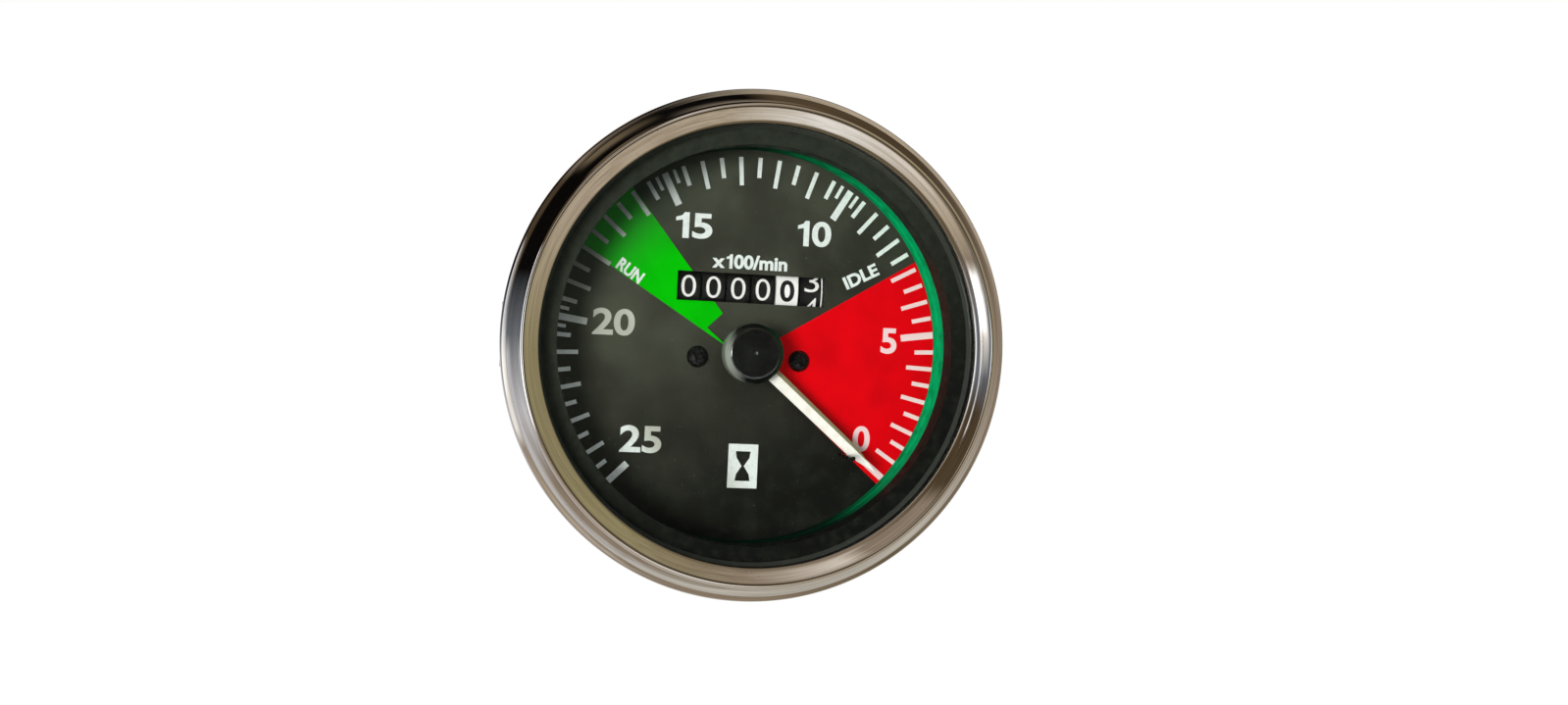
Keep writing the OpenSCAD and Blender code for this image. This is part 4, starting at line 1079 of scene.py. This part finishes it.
@dataclass(frozen=True)
class RoomTones:
    """A plain room for the chrome to mirror, in broad tones, in rings round the direction straight ahead.

    Attributes:
        rings: Each ring's outer limit in degrees from straight ahead, from behind the object to the camera,
            and its tones, clockwise from 6 o'clock as seen from behind the camera, by shares of the turn.
        glazing: Colour of the dark pane that the glass mirrors.
        pane_turn: The pane's direction, in degrees to the right.
        pane: Half the pane's width and half its soft edge, in degrees.
        window: Light of the windows.
        windows: Each window's two angles from straight ahead, its middle and half its width on the clock.
        window_edge: Width of a window's soft edge on the clock.
    """

    rings: tuple[tuple[float, Stops], ...] = (
        (180.0, (
            (0.0, STONE), (0.13, TAUPE), (0.19, PALE), (0.25, PALE), (0.31, HAZE), (0.36, KHAKI),
            (0.44, TAUPE), (0.49, HAZE), (0.51, KHAKI), (0.6, UMBER), (0.7, BEIGE), (0.82, TAUPE),
            (0.88, STONE), (1.0, STONE),
        )),
        (143.0, (
            (0.0, STONE), (0.2, HAZE), (0.235, HAZE), (0.25, SLATE), (0.3, SOOT), (0.385, SOOT),
            (0.4, KHAKI), (0.42, KHAKI), (0.46, SOOT), (0.52, SOOT), (0.54, UMBER), (0.64, UMBER),
            (0.75, TAUPE), (0.85, STONE), (1.0, STONE),
        )),
        (116.0, (
            (0.0, TAUPE), (0.13, TAUPE), (0.19, HAZE), (0.25, SLATE), (0.3, SOOT), (0.46, SOOT),
            (0.54, BEIGE), (0.65, BEIGE), (0.75, TAUPE), (0.88, KHAKI), (1.0, TAUPE),
        )),
        (85.0, (
            (0.0, PALE), (0.07, CREAM), (0.13, BEIGE), (0.165, TAUPE), (0.18, PALE), (0.23, PALE),
            (0.27, SLATE), (0.3, UMBER), (0.37, UMBER), (0.39, TAUPE), (0.45, TAUPE), (0.47, CREAM),
            (0.54, TAUPE), (0.63, OLIVE), (0.74, OLIVE), (0.82, BEIGE), (0.93, BEIGE), (1.0, PALE),
        )),
        (42.0, (
            (0.0, KHAKI), (0.13, KHAKI), (0.21, SLATE), (0.26, SLATE), (0.31, UMBER), (0.38, UMBER),
            (0.5, TAUPE), (0.6, KHAKI), (1.0, KHAKI),
        )),
        (22.0, (
            (0.0, TAUPE), (0.13, TAUPE), (0.19, CREAM), (0.21, LAMP), (0.28, LAMP), (0.32, CREAM),
            (0.38, BEIGE), (0.5, CREAM), (0.62, UMBER), (0.8, UMBER), (1.0, TAUPE),
        )),
    )
    glazing: Colour = srgb(34, 36, 33)
    pane_turn: float = 11.0
    pane: Pair = (12.0, 1.5)
    window: Colour = (1.7, 1.7, 1.75)
    windows: tuple[tuple[float, float, float, float], ...] = (
        (47.0, 74.0, 0.203, 0.018), (63.0, 79.0, 0.262, 0.05),
    )
    window_edge: float = 0.014

    def colour(self, shading: Shading) -> Socket:
        """Builds the tones.

        Args:
            shading: The world's shader.

        Returns:
            The colour for each direction.
        """
        way = shading.add("TexCoord").outputs["Generated"]
        x, y, z = shading.parts(way)
        turn = shading.math("ARCTAN2", x, z)
        place = shading.math("ADD", shading.math("DIVIDE", turn, math.tau), 0.5)
        toward = shading.times(y, -1.0)
        streaks = shading.noise(shading.whole(shading.times(toward, 9.0), x, z), 1.6, 4.0, 0.6)
        shade = shading.band(streaks, 0.3, 0.7, 0.8, 1.12)
        tone = shading.ramp(place, self.rings[0][1])
        for limit, stops in self.rings[1:]:
            tone = shading.mix(self.within(shading, toward, limit), tone, shading.ramp(place, stops))
        for start, end, middle, half in self.windows:
            beyond = shading.math("SUBTRACT", 1.0, self.within(shading, toward, start))
            aside = shading.math("ABSOLUTE", shading.math("SUBTRACT", place, middle))
            width = shading.band(aside, half, half + self.window_edge, 1.0, 0.0)
            pane = shading.times(shading.times(self.within(shading, toward, end), beyond), width)
            tone = shading.mix(pane, tone, self.window)
        tone = shading.mix(1.0, tone, shading.whole(shade, shade, shade), "MULTIPLY")
        across, along = clock(self.pane_turn, 1.0)
        mirrored = shading.dot(way, Vector((across, -along, 0.0)))
        return shading.mix(self.within(shading, mirrored, *self.pane), tone, self.glazing)

    def within(self, shading: Shading, along: Socket, angle: float, soft: float = 4.0) -> Socket:
        """Returns 1 near an axis, easing to 0 round an angle, by some degrees on both its sides."""
        return shading.band(along, *(math.cos(math.radians(a)) for a in (angle + soft, angle - soft)))


@dataclass
class Bezel:
    """Rolled ring: rear bead, outer slope, rounded crest, inner slope and lip.

    Attributes:
        sheet: Thickness of the sheet.
        bead: Radius of the rear bead.
        crest_inset: From the rim in to the crest line.
        crest_round: Radius of the crest.
        width: From the rim in to the opening.
        lip: Width of the flat lip.
        lip_fall: How far the lip slants inwards.
        crest_rise: Height of the crest over the lip.
        grip: How far the ring reaches in behind the case's flange.
        outer_bow: How far the outer slope bulges.
        inner_bow: How far the inner slope bulges.
        neck_out: From the bead's centre out to the centre of the neck's hollow.
        neck_rise: From the ring's back to that centre.
        neck_round: Radius of the neck.
    """

    sheet: float = 0.6
    bead: float = 1.2
    crest_inset: float = 4.4
    crest_round: float = 0.75
    width: float = 7.7
    lip: float = 0.95
    lip_fall: float = 0.3
    crest_rise: float = 1.8
    grip: float = 4.8
    outer_bow: float = 0.09
    inner_bow: float = 0.08
    neck_out: float = 0.55
    neck_rise: float = 3.05
    neck_round: float = 0.62

    def build(self) -> None:
        """Makes the ring."""
        rim, back, top = measure("bezel")
        lip_level = top - self.crest_rise
        path = [(rim - self.grip, back)]
        path += arc((rim - self.bead, back + self.bead), self.bead, -90, 54, 22)
        neck = (rim - self.bead + self.neck_out, back + self.neck_rise)
        path += arc(neck, self.neck_round, 196, 172, 3)
        crest = arc((rim - self.crest_inset, top - self.crest_round), self.crest_round, 15, 122, 22)
        path += self.bow(path[-1], crest[0], self.outer_bow) + crest
        foot = (rim - self.width + self.lip, lip_level + self.lip_fall)
        path += self.bow(crest[-1], foot, self.inner_bow) + [foot, (rim - self.width, lip_level)]
        settle("bezel_shell", revolve(self.sheet_outline(path), 360), CHROME, ROOT_BODY, "bezel")

    def bow(self, start: Pair, end: Pair, rise: float) -> Path:
        """Lays points on a flat bow between two points.

        Args:
            start: The bow's start, left out of the points.
            end: Its end, left out too.
            rise: How far it bulges outwards.

        Returns:
            The points between.
        """
        first, last = Vector(start), Vector(end)
        along = last - first
        out = Vector((along.y, -along.x)).normalized()
        shares = [i / 8 for i in range(1, 8)]
        return [tuple(first + along * t + out * rise * 4 * t * (1 - t)) for t in shares]

    def sheet_outline(self, path: Path) -> Path:
        """Gives a path the sheet's thickness on its inner side.

        Args:
            path: The sheet's outer face.

        Returns:
            The closed outline.
        """
        inner = []
        for i, (radius, level) in enumerate(path):
            ahead = Vector(path[min(i + 1, len(path) - 1)])
            behind = Vector(path[max(i - 1, 0)])
            along = (ahead - behind).normalized()
            inner.append((radius - along.y * self.sheet, level + along.x * self.sheet))
        return path + inner[::-1]


@dataclass
class Well:
    """Everything round in front of the dial: glass, gasket, dark visor and green light ring.

    Attributes:
        lip_gap: How far the gasket's opening lies inside the glass's edge.
        visor_sheet: Thickness of the visor's sheet.
        visor_flange: From the visor's rim in to its step.
        slope: Width of its slanting step.
        visor_step: Height of its step.
        bend: Radius of its bends.
        wall: Thickness of the light ring.
        skirt: Thickness of the visor's skirt, which covers the light ring's front part.
        skirt_gap: Between the skirt and the light ring.
        groove: Depth of the two fine grooves round the light ring.
        groove_pitch: From groove to groove.
        groove_level: Place of the front one, as a share of the wall's height.
        edge: Radius of the light ring's front edge.
        foot_gap: Between the dial plate and the light ring's foot.
    """

    lip_gap: float = 3.6
    visor_sheet: float = 0.7
    visor_flange: float = 5.8
    slope: float = 0.6
    visor_step: float = 1.2
    bend: float = 0.35
    wall: float = 2.5
    skirt: float = 0.25
    skirt_gap: float = 0.02
    groove: float = 0.2
    groove_pitch: float = 0.9
    groove_level: float = 0.3
    edge: float = 0.25
    foot_gap: float = 0.3

    def build(self) -> None:
        """Makes the rings and dresses the glass."""
        dress(GLASS, "glass")
        self.gasket()
        self.visor()
        self.light_ring()

    def gasket(self) -> None:
        """Makes the rubber ring behind the glass, with rounded edges."""
        outer, back, front = measure("glass_gasket")
        inner = outer - self.lip_gap
        soft = (front - back) / 2
        mid = (front + back) / 2
        outline = arc((outer - soft, mid), soft, -90, 90, 8) + arc((inner + soft, mid), soft, 90, 270, 8)
        settle("gasket_ring", revolve(outline, 192), RUBBER, ROOT_BODY, "glass_gasket")

    def visor(self) -> None:
        """Makes the pressed visor, with rounded bends."""
        outer, _, front = measure("visor_ring")
        step_r = outer - self.visor_flange
        inner = -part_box("light_ring")[0].x / MM - self.wall
        face = front - self.visor_step
        bend = self.bend
        top = [(outer, front), (step_r + bend, front)]
        top += arc((step_r + bend, front - bend), bend, 90, 150, 5)
        top += arc((step_r - self.slope - bend, face + bend), bend, -30, -90, 5)
        under = [(r, z - self.visor_sheet) for r, z in reversed(top)]
        thin, wide = inner - self.skirt, inner - self.skirt_gap
        collar = [(thin, face), (thin, SKIRT_LEVEL), (wide, SKIRT_LEVEL), (wide, face - self.visor_sheet)]
        settle("visor_shell", revolve(top + collar + under, 256), VISOR, ROOT_BODY, "visor_ring")

    def light_ring(self) -> None:
        """Makes the green tube, with its grooves."""
        outer, back, front = measure("light_ring")
        radius, _, plate = measure("dial_plate")
        inner, foot, edge = outer - self.wall, radius + self.foot_gap, self.edge
        dial = plate - DIAL_PRINT.layer * 2
        mid = dial + (front - dial) * self.groove_level
        outline = [(inner, dial)]
        for level in (mid - self.groove_pitch, mid):
            outline += [(inner, level - self.groove)] + arc((inner, level), self.groove, -90, 90, 6)
        outline += [(inner, front - edge)]
        outline += arc((inner + edge, front - edge), edge, 180, 90, 4)
        outline += [(outer, front), (outer, back), (foot, back), (foot, dial)]
        settle("light_tube", revolve(outline, 320), GREEN_PLASTIC, ROOT_BODY, "light_ring")


@dataclass
class Dial:
    """Printed plate with its figures, screws and stop pin.

    Attributes:
        ink: Thickness of the printed figures.
        lift: How far their faces stand out from the plate.
        figures: Each figure of the scale, with its centre.
        words: Each word, with its centre and its turn in degrees.
    """

    ink: float = 0.05
    lift: float = 0.01
    figures: tuple[tuple[Lettering, Pair], ...] = (
        (Lettering("0", 4.0, 5.8), (27.4, -19.9)),
        (Lettering("5", 3.7, 5.8), (32.8, 2.45)),
        (Lettering("10", 7.7, 5.7), (14.4, 25.6)),
        (Lettering("15", 8.2, 5.7), (-12.9, 25.85)),
        (Lettering("20", 9.3, 5.9), (-29.7, 3.75)),
        (Lettering("25", 9.25, 6.0), (-22.6, -21.7)),
    )
    words: tuple[tuple[Lettering, Pair, float], ...] = (
        (Lettering("x100/min", 17.0, 3.2, Weight.HEAVY), (0.0, 18.4), 0.0),
        (Lettering("RUN", 6.3, 2.8, Weight.HEAVY), (-26.6, 15.1), -34.0),
        (Lettering("IDLE", 8.4, 2.9, Weight.HEAVY), (25.6, 16.7), 27.3),
    )

    def build(self) -> None:
        """Dresses the plate and prints its figures and words."""
        dress(DIAL_PRINT, "dial_plate")
        for name, prints in (("scale_figures", self.figures), ("scale_words", self.words)):
            shape = bmesh.new()
            for lettering in prints:
                self.print(shape, *lettering)
            thicken(shape, self.ink * MM)
            settle(name, shape, WHITE_INK, ROOT_BODY)
        softened(BLACK_STEEL, 0.12, ROOT_BODY, "dial_screws")
        dress(BLACK_STEEL, "stop_pin")

    def print(self, target: Shape, figure: Lettering, centre: Pair, turn: float = 0.0) -> None:
        """Prints one lettering on the plate.

        Args:
            target: The print.
            figure: The lettering.
            centre: Its centre on the dial, in millimetres.
            turn: Its turn in degrees, anticlockwise.
        """
        level = measure("dial_plate")[2]
        upright = Matrix.Rotation(math.radians(90), 4, "X")
        turned = Matrix.Rotation(math.radians(turn), 4, "Z")
        place = Matrix.Translation(spot(*centre, level + self.lift)) @ upright @ turned @ Matrix.Scale(MM, 4)
        print_on(target, figure.shape(), place)


@dataclass
class Pointer:
    """Ivory pointer under its tapered black cap.

    Attributes:
        round: Radius of the cap's two rounded edges.
        cone: Width of the slanting face between them.
        draft: Slope of its flank in degrees.
        slant: Slope of the slanting face, taken in the same way.
        foot: Width and height of the slant at its foot.
        dimple: Radius of the dimple in its top.
    """

    round: float = 0.8
    cone: float = 0.75
    draft: float = 6.0
    slant: float = 48.0
    foot: Pair = (0.25, 0.3)
    dimple: float = 0.5

    def build(self) -> None:
        """Dresses the pointer and makes the cap."""
        softened(POINTER_ENAMEL, 0.1, "pointer", "pointer_blade")
        self.cap()

    def cap(self) -> None:
        """Makes the cap."""
        low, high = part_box("hub_cap")
        centre = (low + high) / 2
        outer = (high.x - low.x) / 2 / MM
        back, top = -high.y / MM, -low.y / MM
        outline = [(0.0, back), (outer - self.foot[0], back), (outer, back + self.foot[1])]
        flank = (outer - self.round, top - self.round - self.cone)
        outline += arc(flank, self.round, self.draft, self.slant, 8)
        outline += arc((flank[0] - self.cone, top - self.round), self.round, self.slant, 90, 8)
        outline += arc((0.0, top + self.dimple * 0.45), self.dimple, -28, -90, 6)
        shape = revolve(outline, 128, closed=False)
        bmesh.ops.remove_doubles(shape, verts=shape.verts, dist=0.001 * MM)
        bmesh.ops.recalc_face_normals(shape, faces=shape.faces)
        bmesh.ops.translate(shape, vec=(centre.x, 0, centre.z), verts=shape.verts)
        settle("cap_shell", shape, CAP_PLASTIC, "pointer", "hub_cap")


@dataclass
class Counter:
    """Six number drums with ten figures each.

    Attributes:
        figure_width: Width of a figure; the 1 is half as wide.
        figure_height: Height of a figure.
        relief: How far a figure's print stands out.
        rim_width: Width of the white line on the first drum's edge, and its depth in the drum.
        cuts: Strips in which a figure bends round its drum.
        readings: What each drum shows, from the right.
        white_place: Which drum is white.
    """

    figure_width: float = 3.3
    figure_height: float = 4.9
    relief: float = 0.03
    rim_width: float = 0.3
    cuts: int = 10
    readings: tuple[float, ...] = (3.4, 0.0, 0.0, 0.0, 0.0, 0.0)
    white_place: int = 2

    def build(self) -> None:
        """Dresses the drums and prints their figures."""
        for index, reading in enumerate(self.readings):
            place = index + 1
            white = place == self.white_place
            dress(DRUM_WHITE if white else DRUM_BLACK, f"drum_{place}")
            self.figures(place, reading, FIGURE_BLACK if white else FIGURE_WHITE)
        self.rim()

    def figures(self, place: int, reading: float, finish: Finish) -> None:
        """Prints the ten figures on a drum.

        Args:
            place: The drum, counted from the right.
            reading: The number that it shows.
            finish: The figures' ink.
        """
        low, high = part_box(f"drum_{place}")
        centre = (low + high) / 2
        radius = (high.z - low.z) / 2 + self.relief * MM
        strip = bmesh.new()
        for figure in range(10):
            weight = Weight.BOLD if finish is FIGURE_BLACK else Weight.THIN
            width = self.figure_width * (0.5 if figure == 1 else 1.0)
            flat = Lettering(str(figure), width, self.figure_height, weight).shape()
            self.cut(flat)
            thicken(flat, self.relief * 1.5)
            angle = FIGURE_TURN * (reading - figure)
            for point in flat.verts:
                across, along, out = point.co * MM
                turn, reach = angle + along / radius, radius + out
                point.co = centre + Vector((across, -reach * math.cos(turn), reach * math.sin(turn)))
            print_on(strip, flat, Matrix.Identity(4))
        settle(f"drum_{place}_figures", strip, finish, f"counter_drum_{place}")

    def rim(self) -> None:
        """Paints the right-hand edge of the first drum white."""
        low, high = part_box("drum_1")
        centre = (low + high) / 2
        radius = (high.z - low.z) / 2
        width, rise = self.rim_width, self.relief
        corners = ((width, -width), (0.0, -width), (0.0, rise), (width, rise))
        points = [Vector((high.x - x * MM, centre.y, centre.z + radius + z * MM)) for x, z in corners]
        shape = spun(points, 96, centre, Vector((1, 0, 0)))
        settle("drum_1_rim", shape, FIGURE_WHITE, "counter_drum_1")

    def cut(self, flat: Shape) -> None:
        """Cuts a flat figure across so that it can bend round its drum.

        Args:
            flat: The figure, in millimetres.
        """
        for i in range(1, self.cuts):
            place, way = (0, self.figure_height * (i / self.cuts - 0.5), 0), (0, 1, 0)
            bmesh.ops.bisect_plane(flat, geom=everything(flat), plane_co=place, plane_no=way, dist=0.0005)
        bmesh.ops.remove_doubles(flat, verts=flat.verts, dist=0.01)
        bmesh.ops.dissolve_degenerate(flat, dist=0.005, edges=flat.edges)


@dataclass
class Thread:
    """Helical thread on a round rod along the case's axis.

    Attributes:
        name: The piece's name.
        axis: The rod's place on the drawing, right and up.
        radius: Outer radius of the thread.
        pitch: Distance from turn to turn.
        back: Level of its rear end.
        front: Level of its front end.
        depth: Depth of the thread, as a share of the pitch.
        crest: Where the crest begins and ends, as shares of the pitch.
        steps: Steps of a full turn.
    """

    name: str
    axis: Pair
    radius: float
    pitch: float
    back: float
    front: float
    depth: float = 0.6
    crest: Pair = (0.42, 0.58)
    steps: int = 40

    def build(self, finish: Finish) -> None:
        """Makes the thread.

        Args:
            finish: Its finish.
        """
        shape = bmesh.new()
        turns = int((self.front - self.back) / self.pitch) + 2
        root = self.radius - self.depth * self.pitch
        start = self.back - self.pitch
        outline = [(root, 0.0), (self.radius, self.crest[0]), (self.radius, self.crest[1]), (root, 1.0)]
        points = [shape.verts.new(spot(r, 0.0, start + share * self.pitch)) for r, share in outline]
        edges = [shape.edges.new(pair) for pair in zip(points, points[1:])]
        bmesh.ops.spin(
            shape, geom=points + edges, cent=(0, 0, 0), axis=(0, 1, 0), angle=math.tau * turns,
            dvec=(0, -self.pitch * MM / self.steps, 0), steps=self.steps * turns,
            use_merge=False, use_duplicate=False,
        )
        bmesh.ops.remove_doubles(shape, verts=shape.verts, dist=MERGE_GAP)
        for level, sense in ((self.back, 1), (self.front, -1)):
            bmesh.ops.bisect_plane(
                shape, geom=everything(shape), plane_co=spot(0, 0, level), plane_no=(0, sense, 0),
                clear_outer=True,
            )
        bmesh.ops.recalc_face_normals(shape, faces=shape.faces)
        bmesh.ops.translate(shape, vec=spot(*self.axis, 0.0), verts=shape.verts)
        settle(self.name, shape, finish, ROOT_BODY)

    def slim(self, shape: Shape, front: float) -> None:
        """Narrows a shape's rod to the thread's root.

        Args:
            shape: The shape.
            front: Level in front of which nothing is narrowed.
        """
        centre = spot(*self.axis, 0.0)
        for point in shape.verts:
            out = Vector((point.co.x - centre.x, 0.0, point.co.z - centre.z))
            if abs(out.length - self.radius * MM) < ROUND_SLACK and point.co.y > -front * MM:
                point.co -= out.normalized() * self.depth * self.pitch * MM


@dataclass
class Rear:
    """Case, seal, clamp, drive housing and lamps behind the panel.

    Attributes:
        nipple: Diameter of the drive nipple.
        nipple_pitch: Pitch of its thread.
        relief: Length of the relief between the case and the nipple's thread.
        lead: From the nipple's end to its thread.
        stud: Diameter of a mounting stud.
        stud_pitch: Pitch of its thread.
        stud_lead: From the stud's end to its thread.
        stud_relief: From the thread to the case.
        washer: Radius of a spring washer.
        play: How far a rod's narrow part and its thread's end or nut lie apart.
    """

    nipple: float = 18.0
    nipple_pitch: float = 1.5
    relief: float = 2.5
    lead: float = 0.3
    stud: float = 5.0
    stud_pitch: float = 0.8
    stud_lead: float = 0.2
    stud_relief: float = 0.5
    washer: float = 4.5
    play: float = 0.1

    def build(self) -> None:
        """Makes and dresses the rear."""
        for finish, width, *nodes in (
            (CASE_ENAMEL, 0.2, "case"), (RUBBER, 0.35, "panel_seal"), (ZINC_STEEL, 0.3, "clamp_bracket"),
            (ZINC_STEEL, 0.2, "clamp_nuts", "spring_washers", "case_screws"), (BRASS, 0.2, "lamp_holders"),
        ):
            softened(finish, width, ROOT_BODY, *nodes)
        dress(BULB_GLASS, "lamp_bulbs")
        self.housing()
        self.studs()

    def housing(self) -> None:
        """Makes the drive housing with the thread on its nipple."""
        low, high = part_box("drive_shaft")
        axis = (0.0, (low.z + high.z) / 2 / MM)
        back, front = measure("drive_housing")[1], measure("case")[1] - self.relief
        span = (back + self.lead, front - self.play)
        thread = Thread("nipple_thread", axis, self.nipple / 2, self.nipple_pitch, *span)
        shape = merged_copy("drive_housing")
        thread.slim(shape, front + self.play)
        soften("drive_housing", shape, CASTING, 0.2, ROOT_BODY)
        thread.build(CASTING)

    def studs(self) -> None:
        """Makes the two studs with their threads."""
        back, front, nuts = (measure(name)[1] for name in ("mounting_studs", "case", "clamp_nuts"))
        low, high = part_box("spring_washers")
        half = (high.x - low.x) / 2 / MM - self.washer
        span = (back + self.stud_lead, front - self.stud_relief)
        threads = [
            Thread(f"{side}_stud_thread", (place, 0.0), self.stud / 2, self.stud_pitch, *span)
            for side, place in (("left", -half), ("right", half))
        ]
        shape = merged_copy("mounting_studs")
        for thread in threads:
            thread.slim(shape, nuts + self.play)
        soften("mounting_studs", shape, BRIGHT_STEEL, 0.15, ROOT_BODY)
        for thread in threads:
            thread.build(BRIGHT_STEEL)


@dataclass
class Movement:
    """The works between dial and case: pointer drive, gearing and counter carriers."""

    def build(self) -> None:
        """Dresses every piece of the works."""
        for finish, *nodes in (
            (BRASS, "dial_posts", "pointer_boss", "spring_collet", "hairspring_stud", "front_bush"),
            (BRASS, "rear_bush", "drive_worm", "drive_bush", "cross_wheel", "lay_wheel", "drum_gear"),
            (BRIGHT_STEEL, "pointer_spindle", "spindle_bridge", "drive_shaft", "cross_shaft", "cross_worm"),
            (BRIGHT_STEEL, "lay_shaft", "lay_worm", "counter_axle", "carrier_rod"),
            (CARRIER_STEEL, "pinion_carriers"), (ALUMINIUM, "drag_cup"), (SPRING_BRONZE, "hairspring"),
            (CASTING, "movement_frame"), (SOFT_IRON, "flux_ring"), (MAGNET_ALLOY, "magnet"),
            (PINION_PLASTIC, *(f"transfer_pinion_{place}" for place in range(1, 6))),
        ):
            dress(finish, *nodes)


def main() -> None:
    """Builds the studio and every sub-assembly, and logs each one's name."""
    logging.basicConfig(level=logging.INFO, format="%(name)s: %(message)s")
    for assembly in (Studio(), Bezel(), Well(), Dial(), Pointer(), Counter(), Rear(), Movement()):
        log.info("building %s", type(assembly).__name__)
        assembly.build()


if __name__ == "__main__":
    main()
